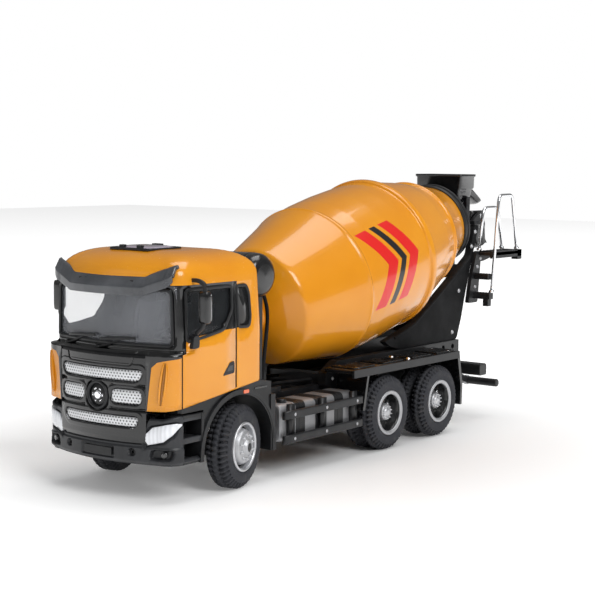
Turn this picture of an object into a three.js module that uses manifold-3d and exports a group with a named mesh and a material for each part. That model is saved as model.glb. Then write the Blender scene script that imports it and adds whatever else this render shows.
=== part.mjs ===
// Die-cast toy concrete mixer truck, about 1:50. Millimetres, +Z up.
// The front looks towards -Y and the truck's left side towards +X.
// The origin is on the floor, under the middle of the truck's outer box.
import * as THREE from "three";
import { mergeVertices } from "three/addons/utils/BufferGeometryUtils.js";
import Module from "manifold-3d";

const wasm = await Module();
wasm.setup();

// ---------------------------------------------------------------- driving dimensions
const FRONT_Y = -97.5; // foremost point of the bumper
const REAR_Y = 97.5; // rearmost edge of the platform
const MIRROR_SPAN = 57; // over both mirrors
const TOP_Z = 85; // hopper rim

const BODY_HALF = 24; // half width of cab and mudguards
const CAB_REAR_Y = -57.5;
const ROOF_Z = 65.6;
const FRONT_CROWN = 0.0096; // the front bows by this times x squared
const CORNER_X = 18.6; // where the front's bow turns into the corner
const CORNER_Y = -88.4; // where the corner runs out into the side

const TYRE_R = 11.6;
const TYRE_BORE_R = 7;
const FRONT_TYRE_W = 7;
const DUAL_TYRE_W = 11;
const DUAL_GAP = 0.9;
const RIM_FIT = 0.1; // gap between a rim and its tyre
const WHEEL_FACE_X = 24.3; // outer face of every tyre
const FRONT_AXLE_Y = -67;
const REAR_AXLE_Y = [6.9, 36.2];
const AXLE_R = 1.3;
const RUNNING_GAP = 0.3; // between a turning piece and what holds it

const KINGPIN_X = 12.6;
const KINGPIN_R = 0.9;
const STEER_REST = (12 * Math.PI) / 180; // the wheels stand turned to the left
const STEER_ARM = 6;
const ARCH_R = 14.6;

const RAIL_X = [7, 10]; // chassis rail, inner and outer face
const RAIL_Z = [15, 21.2];
const RAIL_Y = [-82, 68.5];
const SUB_X = [10, 13]; // drum subframe rail
const SUB_Z = [21.2, 28.2];
const SUB_Y = [-12, 66];

const DRUM_TILT = (12.66 * Math.PI) / 180;
const DRUM_Z = 52; // height of the drum's axis at y = 0
const DRUM_WALL = 1.3;
const MOUTH_R = 9;
// Outside of the drum as [distance along the axis, radius], front to rear.
const DRUM_OUTLINE = [
  [-36.2, 7.2],
  [-33.6, 12.6],
  [-29.6, 18],
  [-28.4, 18.6],
  [-4.9, 24.4],
  [-3.7, 24.6],
  [13, 25],
  [29.4, 24.4],
  [30, 25.2],
  [31.8, 25.2],
  [32.4, 24.2],
  [54.6, 18.6],
  [56, 18.1],
  [69.2, 13.4],
];
const RING_OUTLINE = [
  [69.2, 14.1],
  [72.4, 14.1],
];
const BOSS_R = 4.4;
const BOSS_S = -39.6;
const JOURNAL_R = 2.2;
const JOURNAL_S = -44.5;

const PEDESTAL_TOP_Z = 67.4;
const HOPPER = { half: 9.6, y: [71.4, 82], z: [74.5, TOP_Z], wall: 1.1 };
const SWIVEL = { y: 82.6, r: 1.1 };
const CHUTE = { half: 5.2, wall: 0.9, pivotY: 90.4, pivotZ: 70, topZ: 72, pinR: 0.7 };
const PLATFORM = { x: [12.5, 19.6], y: [77, REAR_Y], z: [56.8, 58.4] };
const WIRE_R = 0.55;

const ROUND = 24; // segments in a large round piece
const DRUM_ROUND = 36;
const RIM_ROUND = 20;
const SMALL_ROUND = 12;

// ---------------------------------------------------------------- solids and booleans
function solid(geometry) {
  const bare = geometry.index ? geometry.toNonIndexed() : geometry.clone();
  bare.deleteAttribute("normal");
  bare.deleteAttribute("uv");
  const merged = mergeVertices(bare, 1e-4);
  return new wasm.Manifold(
    new wasm.Mesh({
      numProp: 3,
      vertProperties: merged.attributes.position.array,
      triVerts: new Uint32Array(merged.index.array),
    }),
  );
}

const join = (...parts) => parts.reduce((a, b) => a.add(b));
const cut = (body, ...tools) => tools.reduce((a, b) => a.subtract(b), body);
const common = (...parts) => parts.reduce((a, b) => a.intersect(b));
const mirrorX = (part) => part.mirror([1, 0, 0]);

function block(x, y, z) {
  const made = new THREE.BoxGeometry(x[1] - x[0], y[1] - y[0], z[1] - z[0]);
  made.translate((x[0] + x[1]) / 2, (y[0] + y[1]) / 2, (z[0] + z[1]) / 2);
  return solid(made);
}

const shapeOf = (points) => new THREE.Shape(points.map(([a, b]) => new THREE.Vector2(a, b)));

function area(points) {
  return THREE.ShapeUtils.area(points.map(([a, b]) => new THREE.Vector2(a, b)));
}

function extrude(points, depth) {
  const ordered = area(points) < 0 ? [...points].reverse() : points;
  return new THREE.ExtrudeGeometry(shapeOf(ordered), { depth, bevelEnabled: false });
}

// A [y, z] outline carried along X.
function alongX(points, x0, x1) {
  const made = extrude(points, x1 - x0);
  made.applyMatrix4(new THREE.Matrix4().set(0, 0, 1, x0, 1, 0, 0, 0, 0, 1, 0, 0, 0, 0, 0, 1));
  return solid(made);
}

// An [x, z] outline carried along Y.
function alongY(points, y0, y1) {
  const made = extrude(points, y1 - y0);
  made.applyMatrix4(new THREE.Matrix4().set(1, 0, 0, 0, 0, 0, -1, y1, 0, 1, 0, 0, 0, 0, 0, 1));
  return solid(made);
}

// An [x, y] outline carried along Z.
function alongZ(points, z0, z1) {
  const made = extrude(points, z1 - z0);
  made.translate(0, 0, z0);
  return solid(made);
}

// A closed [radius, height] outline turned about Z.
function turned(points, segments = ROUND) {
  const ordered = area(points) < 0 ? [...points].reverse() : points;
  const profile = [...ordered, ordered[0]].map(([r, h]) => new THREE.Vector2(r, h));
  const made = new THREE.LatheGeometry(profile, segments);
  made.rotateX(Math.PI / 2);
  return solid(made);
}

const rodZ = (r, z0, z1, segments = SMALL_ROUND) =>
  turned([[0, z0], [r, z0], [r, z1], [0, z1]], segments);
const rodX = (r, x0, x1, y, z, segments = SMALL_ROUND) =>
  rodZ(r, x0, x1, segments).rotate([0, 90, 0]).translate([0, y, z]);
const rodY = (r, y0, y1, x, z, segments = SMALL_ROUND) =>
  rodZ(r, y0, y1, segments).rotate([-90, 0, 0]).translate([x, 0, z]);

// A round wire through the given points, with its corners rounded by the curve.
function wire(points, r, steps, sides = 8) {
  const path = new THREE.CurvePath();
  const corners = points.map((p) => new THREE.Vector3(...p));
  const bend = 1.6;
  let from = corners[0];
  for (let i = 1; i < corners.length - 1; i++) {
    const before = corners[i].clone().lerp(corners[i - 1], bend / corners[i].distanceTo(corners[i - 1]));
    const after = corners[i].clone().lerp(corners[i + 1], bend / corners[i].distanceTo(corners[i + 1]));
    path.add(new THREE.LineCurve3(from, before));
    path.add(new THREE.QuadraticBezierCurve3(before, corners[i], after));
    from = after;
  }
  path.add(new THREE.LineCurve3(from, corners[corners.length - 1]));
  const section = new THREE.Shape();
  for (let i = 0; i < sides; i++) {
    const a = (2 * Math.PI * i) / sides;
    if (i) section.lineTo(r * Math.cos(a), r * Math.sin(a));
    else section.moveTo(r * Math.cos(a), r * Math.sin(a));
  }
  return solid(new THREE.ExtrudeGeometry(section, { steps, extrudePath: path, bevelEnabled: false }));
}

function arc(cx, cy, r, from, to, steps) {
  return Array.from({ length: steps + 1 }, (_, i) => {
    const a = from + ((to - from) * i) / steps;
    return [cx + r * Math.cos(a), cy + r * Math.sin(a)];
  });
}

// ---------------------------------------------------------------- the scene graph
const truck = new THREE.Group();
truck.name = "toy_mixer_truck";

const PAINT = { color: 0xe8981e, roughness: 0.25, metalness: 0.1 };
const DARK = { color: 0x2b2c30, roughness: 0.5, metalness: 0 };
const GLOSS_BLACK = { color: 0x101114, roughness: 0.2, metalness: 0 };
const CHROME = { color: 0xd0d2d6, roughness: 0.15, metalness: 1 };
const SILVER = { color: 0xb9bbc0, roughness: 0.4, metalness: 0.8 };
const RUBBER = { color: 0x34353a, roughness: 0.85, metalness: 0 };
const CLEAR = { color: 0xe8eef2, roughness: 0.05, metalness: 0, transparent: true, opacity: 0.35 };
const LAMP = { color: 0xf2f2f2, roughness: 0.2, metalness: 0.2 };
const SEAT = { color: 0x4a4b50, roughness: 0.8, metalness: 0 };

function add(name, part, finish) {
  const mesh = part.getMesh();
  const geometry = new THREE.BufferGeometry();
  geometry.setAttribute("position", new THREE.BufferAttribute(mesh.vertProperties, 3));
  geometry.setIndex(new THREE.BufferAttribute(mesh.triVerts, 1));
  geometry.computeVertexNormals();
  const made = new THREE.Mesh(geometry, new THREE.MeshStandardMaterial(finish));
  made.name = name;
  truck.add(made);
}

const SIDES = [["left", 1], ["right", -1]];
const sided = (part, sign) => (sign > 0 ? part : mirrorX(part));

// ---------------------------------------------------------------- the cab's plan
// How far back the front skin stands at x: a shallow bow, then a quarter ellipse round the corner.
function frontY(x) {
  const a = Math.abs(x);
  const bow = FRONT_Y + FRONT_CROWN * Math.min(a, CORNER_X) ** 2;
  if (a <= CORNER_X) return bow;
  const t = Math.min((a - CORNER_X) / (BODY_HALF - CORNER_X), 1);
  return CORNER_Y - (CORNER_Y - bow) * Math.sqrt(1 - t * t);
}

// The cab's outline from above, shrunk by inset and closed at the rear by back.
function plan(inset, back) {
  const half = BODY_HALF - inset;
  const stations = [0, 5, 10, 14.5, 18.6, 20.8, 22.4, 23.4, 24].map((x) => (x * half) / BODY_HALF);
  const side = stations.map((x) => [x, frontY((x * BODY_HALF) / half) + inset]);
  const left = [...side, [half, back]];
  return [...left.slice(1).map(([x, y]) => [-x, y]).reverse(), ...left];
}

const planBlock = (inset, back, z0, z1) => alongZ(plan(inset, back), z0, z1);
const frontSkin = (outer, inner, z0, z1) =>
  cut(planBlock(outer, -80, z0, z1), planBlock(inner, -79, z0 - 1, z1 + 1));

// ---------------------------------------------------------------- cab shell
const CAB_WALL = 1.2;
const SILL_FRONT_Z = 25.4; // the cab's lower edge rises towards the rear
const SILL_REAR_Z = 29.4;
const HOOD_Z = 39.4; // lower edge of the windscreen panel
const SCREEN_SET = 3.2; // the screen stands this far behind the bumper's front
const PANEL_HALF = 15.6; // half width of the black front panel

const sillZ = (y) =>
  SILL_FRONT_Z + ((SILL_REAR_Z - SILL_FRONT_Z) * (y + 90)) / (CAB_REAR_Y + 90);

// The cab seen from the side, as [y, z].
function cabSide(inset) {
  const front = FRONT_Y + SCREEN_SET + inset;
  const top = ROOF_Z - inset;
  const rear = CAB_REAR_Y - inset;
  const low = 21 - 9 * inset;
  return [
    [FRONT_Y + inset, low],
    [FRONT_Y + inset, 56.6],
    [front + 1.2, 60],
    [front + 4.2, 62.8],
    [front + 9, top - 0.5],
    [front + 15, top],
    [rear - 5, top - 0.8],
    [rear - 1.6, top - 3.6],
    [rear, top - 8],
    [rear, low],
  ];
}

// The cab seen from the front, as [x, z]: upright to the belt line, then leaning in to a rounded roof.
function cabFront(inset) {
  const half = [
    [BODY_HALF - inset, 21 - 9 * inset],
    [BODY_HALF - inset, 44],
    [BODY_HALF - 1 - inset, 57],
    [BODY_HALF - 2.2 - inset, 61],
    [BODY_HALF - 4.4 - inset, 63.8 - inset / 2],
    [BODY_HALF - 8 - inset, ROOF_Z - 0.3 - inset],
    [BODY_HALF - 13 - inset, ROOF_Z - inset],
  ];
  return [...half, ...half.map(([x, z]) => [-x, z]).reverse()];
}

// Above the hood line the whole front stands back by SCREEN_SET.
function cabForm(inset) {
  const back = CAB_REAR_Y - inset;
  const lower = planBlock(inset, back, 5, HOOD_Z - inset);
  const upper = planBlock(inset, back - SCREEN_SET, 6, 70).translate([0, SCREEN_SET, 0]);
  const side = alongX(cabSide(inset), -30, 30);
  const face = alongY(cabFront(inset), -100, -50);
  return common(side, face, join(lower, upper));
}

const SIDE_WINDOW = [
  [-88.2, 42.6],
  [-73.6, 44.6],
  [-69.9, 49.4],
  [-69.4, 56.6],
  [-87.4, 56.2],
];
const QUARTER_WINDOW = [
  [-67.6, 44.8],
  [-64.2, 44.6],
  [-63.4, 47],
  [-64, 55.6],
  [-67.6, 55.8],
];
const SCREEN = { half: 21, z: [41.2, 56.2] };

function cabShell() {
  const skin = cut(cabForm(0), cabForm(CAB_WALL));
  const below = alongX(
    [[-110, 5], [-110, 21.4], [-90, SILL_FRONT_Z], [CAB_REAR_Y + 1, SILL_REAR_Z + 0.1], [-40, 5]],
    -30,
    30,
  );
  const nose = block([-PANEL_HALF, PANEL_HALF], [-110, -89], [5, HOOD_Z - 0.2]);
  const screen = alongY(
    [
      [-SCREEN.half, SCREEN.z[0]],
      [SCREEN.half, SCREEN.z[0]],
      [SCREEN.half - 0.8, SCREEN.z[1]],
      [0.8 - SCREEN.half, SCREEN.z[1]],
    ],
    -110,
    -89.4,
  );
  const floorCut = planBlock(CAB_WALL, CAB_REAR_Y - CAB_WALL, 5, 33);
  return cut(
    skin,
    below,
    nose,
    screen,
    floorCut,
    alongX(SIDE_WINDOW, -30, 30),
    alongX(QUARTER_WINDOW, -30, 30),
    ...SIDES.map(([, s]) => sided(headlampPrism(0.15), s)),
  );
}

// ---------------------------------------------------------------- lamps and bumper
const LAMP_BACK_Y = -90.4; // the lamp ends in front of the step
const LAMP_OUTLINE = [
  [14.4, 17.8],
  [15.4, 15.4],
  [20.6, 16.4],
  [22.8, 18.2],
  [23.9, 21],
  [23.2, 21.6],
  [16.8, 20.4],
];

function headlampPrism(clearance) {
  const middle = [19, 18.4];
  const grown = LAMP_OUTLINE.map(([x, z]) => {
    const dx = x - middle[0];
    const dz = z - middle[1];
    const d = Math.hypot(dx, dz);
    return [x + (dx / d) * clearance, z + (dz / d) * clearance];
  });
  return alongY(grown, -99, LAMP_BACK_Y);
}

const headlamp = () => common(headlampPrism(0), frontSkin(0.3, 2.6, 14, 23));

const BUMPER_Z = [10.2, 20.8];
const STEP_Y = [-91, -81.4];
const STEP_X = [15.5, BODY_HALF];
const STEP_TOP_Z = 23.6;

function bumper() {
  const face = cut(frontSkin(0, 4, ...BUMPER_Z), block([-30, 30], [-90, -70], [0, 40]));
  const mouth = block([-PANEL_HALF, PANEL_HALF], [-110, -88], [15.4, 30]);
  const plate = alongY([[-5.8, 11.4], [5.8, 11.4], [5.8, 14.4], [-5.8, 14.4]], -99, -96.4);
  const step = (s) =>
    sided(
      cut(
        block(STEP_X, STEP_Y, [10.2, STEP_TOP_Z]),
        block([18.5, 30], [-89.4, -82.6], [17.3, 21.9]),
        block([18.5, 30], [-89.4, -82.6], [11.2, 15.8]),
      ),
      s,
    );
  const lampCuts = SIDES.map(([, s]) => sided(headlampPrism(0.15), s));
  const fogs = SIDES.map(([, s]) =>
    sided(alongY([[17, 11.8], [22.6, 11.8], [22.6, 14.2], [17, 14.2]], -99, -94), s),
  );
  return cut(
    join(face, step(1), step(-1), block([-16, 16], [-92.4, -90], [10.2, 14.6])),
    mouth,
    plate,
    ...lampCuts,
    ...fogs,
  );
}

// ---------------------------------------------------------------- front panel and grilles
const STRIPS = [
  { name: "grille_upper", z: [32.2, 35.2], top: [-15, 15], bottom: [-13.4, 13.4] },
  { name: "grille_right", z: [26, 29.8], top: [-14.6, -4.6], bottom: [-13.4, -4.6] },
  { name: "grille_left", z: [26, 29.8], top: [4.6, 14.6], bottom: [4.6, 13.4] },
  { name: "grille_lower", z: [20, 22.8], top: [-13.6, 13.6], bottom: [-12.4, 12.4] },
];
const STRIP_SET = 0.5; // how far a strip stands behind the panel's face
const STRIP_THICK = 0.9;
const STRIP_GAP = 0.15;
const BADGE_R = 3.9;
const BADGE_Z = 27.6;

const stripPrism = ({ z, top, bottom }, grow) =>
  alongY(
    [
      [bottom[0] - grow, z[0] - grow],
      [bottom[1] + grow, z[0] - grow],
      [top[1] + grow, z[1] + grow],
      [top[0] - grow, z[1] + grow],
    ],
    -99,
    -90,
  );

const strip = (entry) =>
  common(stripPrism(entry, 0), frontSkin(STRIP_SET, STRIP_SET + STRIP_THICK, 15, 38));

function frontPanel() {
  const half = PANEL_HALF - STRIP_GAP;
  const foot = half - 1.2;
  const outline = [
    [-foot, 15.6],
    [foot, 15.6],
    [half, 24],
    [half, 40],
    [-half, 40],
    [-half, 24],
  ];
  const panel = common(frontSkin(0, 4, 15.6, HOOD_Z - 0.4), alongY(outline, -99, -90));
  const pocket = frontSkin(-3, STRIP_SET + STRIP_THICK, 15, 38);
  return cut(
    panel,
    ...STRIPS.map((entry) => common(stripPrism(entry, STRIP_GAP), pocket)),
    rodY(BADGE_R + STRIP_GAP, -99, FRONT_Y + 1.2, 0, BADGE_Z, 24),
    ...SIDES.map(([, s]) => sided(headlampPrism(0.15), s)),
  );
}

const badge = () => rodY(BADGE_R, FRONT_Y + 0.1, FRONT_Y + 1.2, 0, BADGE_Z, 24);

// ---------------------------------------------------------------- glass
const GLASS = 0.7;

function windscreen() {
  const sheet = cut(
    planBlock(CAB_WALL + 0.05, -76, 40, 57.4),
    planBlock(CAB_WALL + GLASS, -75, 39, 58),
  ).translate([0, SCREEN_SET, 0]);
  const behind = block([-30, 30], [-89.2, -70], [30, 60]);
  const under = block([-30, 30], [-110, -70], [30, 40.6]);
  return cut(sheet, behind, under);
}

function sideGlass() {
  const pane = alongX([[-88.4, 41.8], [-63, 43.4], [-63, 57.4], [-88, 57.2]], 10, 30);
  return cut(common(pane, cabForm(CAB_WALL + 0.05)), cabForm(CAB_WALL + GLASS));
}

// ---------------------------------------------------------------- visor, hatch, mirrors, wipers
const VISOR = { set: 1.7, thick: 1.2 }; // set back from the bumper's front

function visor() {
  const half = [
    [13.6, 54.4],
    [20.2, 57.6],
    [22, 59],
    [22.4, 62.6],
    [20.4, 62.2],
    [14.6, 60.4],
    [13.4, 59.6],
  ];
  const outline = [...half, ...half.map(([x, z]) => [-x, z]).reverse()];
  const skin = frontSkin(0, VISOR.thick, 50, 70).translate([0, VISOR.set, 0]);
  const shade = common(alongY(outline, -99, -85), skin);
  const lug = (s) => sided(block([8, 10], [-94.2, -92.2], [57.4, 58.6]), s);
  return cut(join(shade, lug(1), lug(-1)), cabForm(-0.02));
}

function roofHatch() {
  const lid = block([-6.5, 6.5], [-84, -72.5], [64, 66.8]);
  const frame = block([-7.2, 7.2], [-84.8, -71.8], [64, 66]);
  return cut(join(lid, frame), cabForm(-0.02));
}

const MIRROR = { x: [25.2, MIRROR_SPAN / 2], y: [-86, -83.6], z: [47.4, 55.8] };

function mirror() {
  const head = block(MIRROR.x, MIRROR.y, MIRROR.z);
  const arm = (z0, z1, thick) =>
    alongY([[22.7, z0], [22.7, z0 - thick], [26.2, z1 - thick], [26.2, z1]], -85.6, -84.4);
  const base = block([22.9, 24.9], [-87.4, -84.4], [40.6, 44.2]);
  const stalk = alongY([[24.3, 43], [25.1, 43], [26.4, 48], [25.5, 48]], -85.8, -84.6);
  return cut(join(head, arm(58.6, 55.8, 1.1), base, stalk), cabForm(-0.02));
}

function wiper(x0) {
  const arm = alongY([[x0, 39.6], [x0 + 0.8, 39.6], [x0 + 8.4, 42], [x0 + 8.2, 42.7]], -95.1, -94.5);
  const blade = alongY([[x0 + 2, 42.2], [x0 + 13, 42.6], [x0 + 13, 43.3], [x0 + 2, 42.9]], -95.1, -94.5);
  const pivot = rodY(0.8, -95.1, -90, x0 + 0.4, 40, 10);
  return cut(join(arm, blade, pivot), cabForm(-0.02));
}

// ---------------------------------------------------------------- cab inside and cab base
function seats() {
  const seat = (s) =>
    sided(
      join(
        block([4, 14], [-77, -67], [33.2, 37]),
        alongX([[-69.4, 36.6], [-67, 36.6], [-65, 50], [-67, 50]], 4.5, 13.5),
        alongX([[-67, 49.6], [-65.2, 49.6], [-64.8, 53.2], [-66.4, 53.2]], 6.6, 11.4),
      ),
      s,
    );
  const floor = block([-20, 20], [-86, -60], [32, 33.4]);
  const dash = alongX([[-87.6, 33], [-87.6, 40.2], [-84, 41.4], [-82.4, 38], [-83, 33]], -19, 19);
  return join(floor, seat(1), seat(-1), dash);
}

function steeringWheel() {
  const rim = solid(new THREE.TorusGeometry(3.4, 0.45, 6, 16));
  const spoke = block([-3.3, 3.3], [-0.4, 0.4], [-0.3, 0.3]);
  const column = rodZ(0.6, -5.2, 0.3, 10);
  return join(rim, spoke, column).rotate([28, 0, 0]).translate([8.6, -80, 42.4]);
}

const FENDER = { x: [14, BODY_HALF + 0.2], thick: 1.5, frontZ: TYRE_R - 1.6, rearZ: TYRE_R - 3 };

function cabBase() {
  const deck = alongX(
    [[-90, 23.6], [-90, sillZ(-90) - 0.05], [CAB_REAR_Y, SILL_REAR_Z - 0.05], [-52.4, 28.6], [-52.4, 24.6]],
    -BODY_HALF,
    BODY_HALF,
  );
  const centre = [FRONT_AXLE_Y, TYRE_R];
  const fenderR = ARCH_R + FENDER.thick;
  const outer = alongX(
    [
      ...arc(...centre, fenderR, 0, Math.PI, 16),
      [FRONT_AXLE_Y - fenderR, FENDER.frontZ],
      [FRONT_AXLE_Y + fenderR, FENDER.rearZ],
    ],
    FENDER.x[0],
    FENDER.x[1],
  );
  const inside = alongX(
    [...arc(...centre, ARCH_R, 0, Math.PI, 20), [FRONT_AXLE_Y - ARCH_R, 0], [FRONT_AXLE_Y + ARCH_R, 0]],
    -30,
    30,
  );
  const rearWall = block(FENDER.x, [-53, -50.9], [FENDER.rearZ + 0.2, 24.8]);
  const fender = (s) => sided(join(outer, rearWall), s);
  const seatBox = block([-20, 20], [-86, -60], [26, 31.9]);
  const front = block([-30, 30], [-110, STEP_Y[1] + 0.05], [0, STEP_TOP_Z]);
  return cut(join(deck, fender(1), fender(-1), seatBox), inside, front);
}

// ---------------------------------------------------------------- chassis
function axleBlock(y) {
  const hanger = block([-RAIL_X[1], RAIL_X[1]], [y - 4, y + 4], [8.6, RAIL_Z[0] + 1]);
  return cut(hanger, rodX(AXLE_R + RUNNING_GAP, -12, 12, y, TYRE_R));
}

function chassisFrame() {
  const rails = SIDES.map(([, s]) => sided(block(RAIL_X, RAIL_Y, RAIL_Z), s));
  const crossings = [-80, -48, -14, 21.5, 66].map((y) =>
    block([-RAIL_X[0] - 0.5, RAIL_X[0] + 0.5], [y - 1.5, y + 1.5], [RAIL_Z[0] + 1, RAIL_Z[1] - 1]),
  );
  const pads = SIDES.map(([, s]) =>
    sided(block([4, RAIL_X[1]], [FRONT_AXLE_Y - 3, FRONT_AXLE_Y + 3], [13.2, RAIL_Z[0] + 0.5]), s),
  );
  const cabMount = block([-9, 9], [-80, -56], [RAIL_Z[1] - 0.5, 23.6]);
  const bumperArm = SIDES.map(([, s]) => sided(block(RAIL_X, [-90, RAIL_Y[0]], [15.6, 20]), s));
  const tankArm = SIDES.map(([, s]) =>
    sided(block([RAIL_X[1] - 0.5, 12], [-32, -29], [15.5, 18.5]), s),
  );
  const hangers = REAR_AXLE_Y.map(axleBlock);
  return join(...rails, ...crossings, ...pads, cabMount, ...bumperArm, ...tankArm, ...hangers);
}

function subframe() {
  const side = [
    [SUB_Y[0], SUB_Z[0]],
    [SUB_Y[1], SUB_Z[0]],
    [SUB_Y[1], SUB_Z[1]],
    [SUB_Y[0] + 6, SUB_Z[1]],
    [SUB_Y[0], SUB_Z[1] - 3.2],
  ];
  const rails = SIDES.map(([, s]) => sided(alongX(side, ...SUB_X), s));
  const crossings = [-9, 21, 60].map((y) => block([-SUB_X[1], SUB_X[1]], [y - 2, y + 2], [SUB_Z[0], 24.4]));
  const holes = [56, 62].map((y) => rodX(0.9, -14, 14, y, 26.2, 12));
  return cut(join(...rails, ...crossings), ...holes);
}

// ---------------------------------------------------------------- wheels and axles
const SHOULDER = 1.6; // rounding of a tyre's edge

// Outline of one tyre as [radius, distance out from its middle].
function tyreOutline(half) {
  const outer = [
    [TYRE_R, half - SHOULDER],
    [TYRE_R - 0.2, half - 0.9],
    [TYRE_R - SHOULDER, half],
    [TYRE_BORE_R, half],
  ];
  return [...outer.map(([r, h]) => [r, -h]).reverse(), ...outer];
}

const frontTyre = () => turned(tyreOutline(FRONT_TYRE_W / 2));

// Two tyres side by side, joined at the bottom of the groove between them.
function dualTyre() {
  const w = DUAL_TYRE_W / 2;
  const g = DUAL_GAP / 2;
  const outer = [
    [TYRE_R - 1 - SHOULDER, g],
    [TYRE_R - SHOULDER, g],
    [TYRE_R, g + 1.2],
    [TYRE_R, w - 1.4],
    [TYRE_R - SHOULDER, w],
    [TYRE_BORE_R, w],
  ];
  return turned([...outer.map(([r, h]) => [r, -h]).reverse(), ...outer]);
}

function frontRim() {
  const w = FRONT_TYRE_W / 2;
  const r = TYRE_BORE_R - RIM_FIT;
  const bore = KINGPIN_R + RUNNING_GAP;
  return turned([
    [bore, -w + 1],
    [r, -w + 0.6],
    [r, w - 0.2],
    [r - 0.7, w + 0.2],
    [5.2, w - 1.6],
    [4.6, w + 0.2],
    [2.4, w + 0.9],
    [1.6, w + 1.6],
    [bore, w + 1.6],
  ], RIM_ROUND);
}

function rearRim() {
  const w = DUAL_TYRE_W / 2;
  const r = TYRE_BORE_R - RIM_FIT;
  return turned([
    [AXLE_R + 0.05, -w + 0.6],
    [r, -w + 0.4],
    [r, w],
    [r - 0.9, w + 0.1],
    [r - 1.5, w - 3.4],
    [2.8, w - 4],
    [2.6, w - 1.4],
    [1.8, w - 0.8],
    [AXLE_R + 0.05, w - 0.8],
  ], RIM_ROUND);
}

// Turns a wheel made about Z to lie across the truck, its outer side towards +X.
const acrossTruck = (part, x, y) => part.rotate([0, 90, 0]).translate([x, y, TYRE_R]);

const degrees = (rad) => (rad * 180) / Math.PI;
// Turns a piece about its own kingpin by the resting steering angle.
const steered = (part, s) =>
  part
    .translate([-s * KINGPIN_X, -FRONT_AXLE_Y, 0])
    .rotate([0, 0, degrees(STEER_REST)])
    .translate([s * KINGPIN_X, FRONT_AXLE_Y, 0]);

function frontBeam() {
  const eye = (s) => rodZ(2, 10.2, 13).translate([s * KINGPIN_X, FRONT_AXLE_Y, 0]);
  const bore = (s) => rodZ(KINGPIN_R + RUNNING_GAP, 5, 20).translate([s * KINGPIN_X, FRONT_AXLE_Y, 0]);
  const beam = block([-KINGPIN_X, KINGPIN_X], [FRONT_AXLE_Y - 1.6, FRONT_AXLE_Y + 1.6], [10.2, 13]);
  const seatPads = block([-9, 9], [FRONT_AXLE_Y - 2.4, FRONT_AXLE_Y + 2.4], [11, 13.2]);
  return cut(join(beam, seatPads, eye(1), eye(-1)), bore(1), bore(-1));
}

function knuckle() {
  const pin = rodZ(KINGPIN_R, 8.6, 14.6).translate([KINGPIN_X, FRONT_AXLE_Y, 0]);
  const cheek = (z0, z1) =>
    join(
      rodZ(1.8, z0, z1).translate([KINGPIN_X, FRONT_AXLE_Y, 0]),
      block([KINGPIN_X, 16.6], [FRONT_AXLE_Y - 1.8, FRONT_AXLE_Y + 1.8], [z0, z1]),
    );
  const web = block([15.2, 16.6], [FRONT_AXLE_Y - 1.8, FRONT_AXLE_Y + 1.8], [8.6, 14.6]);
  const stub = rodX(KINGPIN_R, 16, WHEEL_FACE_X + 1.4, FRONT_AXLE_Y, TYRE_R);
  const armY = [FRONT_AXLE_Y, FRONT_AXLE_Y + STEER_ARM + 1];
  const arm = block([KINGPIN_X - 1, KINGPIN_X + 1], armY, [8.6, 9.8]);
  const ball = rodZ(0.5, 6.8, 9, 12).translate([KINGPIN_X, FRONT_AXLE_Y + STEER_ARM, 0]);
  return join(pin, cheek(8.6, 9.9), cheek(13.3, 14.6), web, stub, arm, ball);
}

function tieRod() {
  const x = -Math.sin(STEER_REST) * STEER_ARM;
  const y = FRONT_AXLE_Y + Math.cos(STEER_REST) * STEER_ARM;
  const ends = [x - KINGPIN_X, x + KINGPIN_X];
  const bar = block(ends, [y - 0.7, y + 0.7], [7.1, 8.3]);
  const eyes = ends.map((e) => rodZ(1.5, 7.1, 8.3, 16).translate([e, y, 0]));
  const bores = ends.map((e) => rodZ(0.5 + RUNNING_GAP, 6, 9, 16).translate([e, y, 0]));
  return cut(join(bar, ...eyes), ...bores);
}

const rearAxle = (y) => rodX(AXLE_R, -WHEEL_FACE_X + 1.6, WHEEL_FACE_X - 1.6, y, TYRE_R);

// ---------------------------------------------------------------- side equipment
const TANK = { x: [12, 21.8], y: [-46, -9.4], z: [9.6, 20.4] };
const TANK_ROUNDING = 1.8;
const GUARD_X = [23, 24.2];
const GUARD_Y = [-46.6, -8.3];

function sideGuard() {
  const rail = (z0, z1) => block(GUARD_X, GUARD_Y, [z0, z1]);
  const postX = [TANK.x[1], GUARD_X[0] + 0.1];
  const posts = [-42, -26.6, -11].map((y) => block(postX, [y - 1.2, y + 1.2], TANK.z));
  return join(rail(9.4, 11.8), rail(16.4, 18.8), ...posts);
}

function roundedTank(y0, y1) {
  const [x0, x1] = TANK.x;
  const [z0, z1] = TANK.z;
  const r = TANK_ROUNDING;
  const corner = (cx, cz, from) => arc(cx, cz, r, from, from + Math.PI / 2, 3);
  return alongY(
    [
      ...corner(x1 - r, z1 - r, 0),
      ...corner(x0 + r, z1 - r, Math.PI / 2),
      ...corner(x0 + r, z0 + r, Math.PI),
      ...corner(x1 - r, z0 + r, (3 * Math.PI) / 2),
    ],
    y0,
    y1,
  );
}

// Each strap sits in a shallow groove down the tank's outer face.
function fuelTank() {
  const grooves = [-36.5, -27, -17.5].map((y) =>
    cut(roundedTank(y - 0.6, y + 0.6), roundedTank(y - 1, y + 1).translate([-0.3, 0, 0])),
  );
  return cut(roundedTank(...TANK.y), ...grooves);
}

function batteryBox() {
  const box = block(TANK.x, [-46, -30], TANK.z);
  const reservoir = rodY(4.6, -30.2, -9.4, 16.8, 15, 16);
  return mirrorX(join(box, reservoir));
}

const AIR_TANK = { y: -43.8, z: 56.7, r: 6.6, half: 14.5 };

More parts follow.
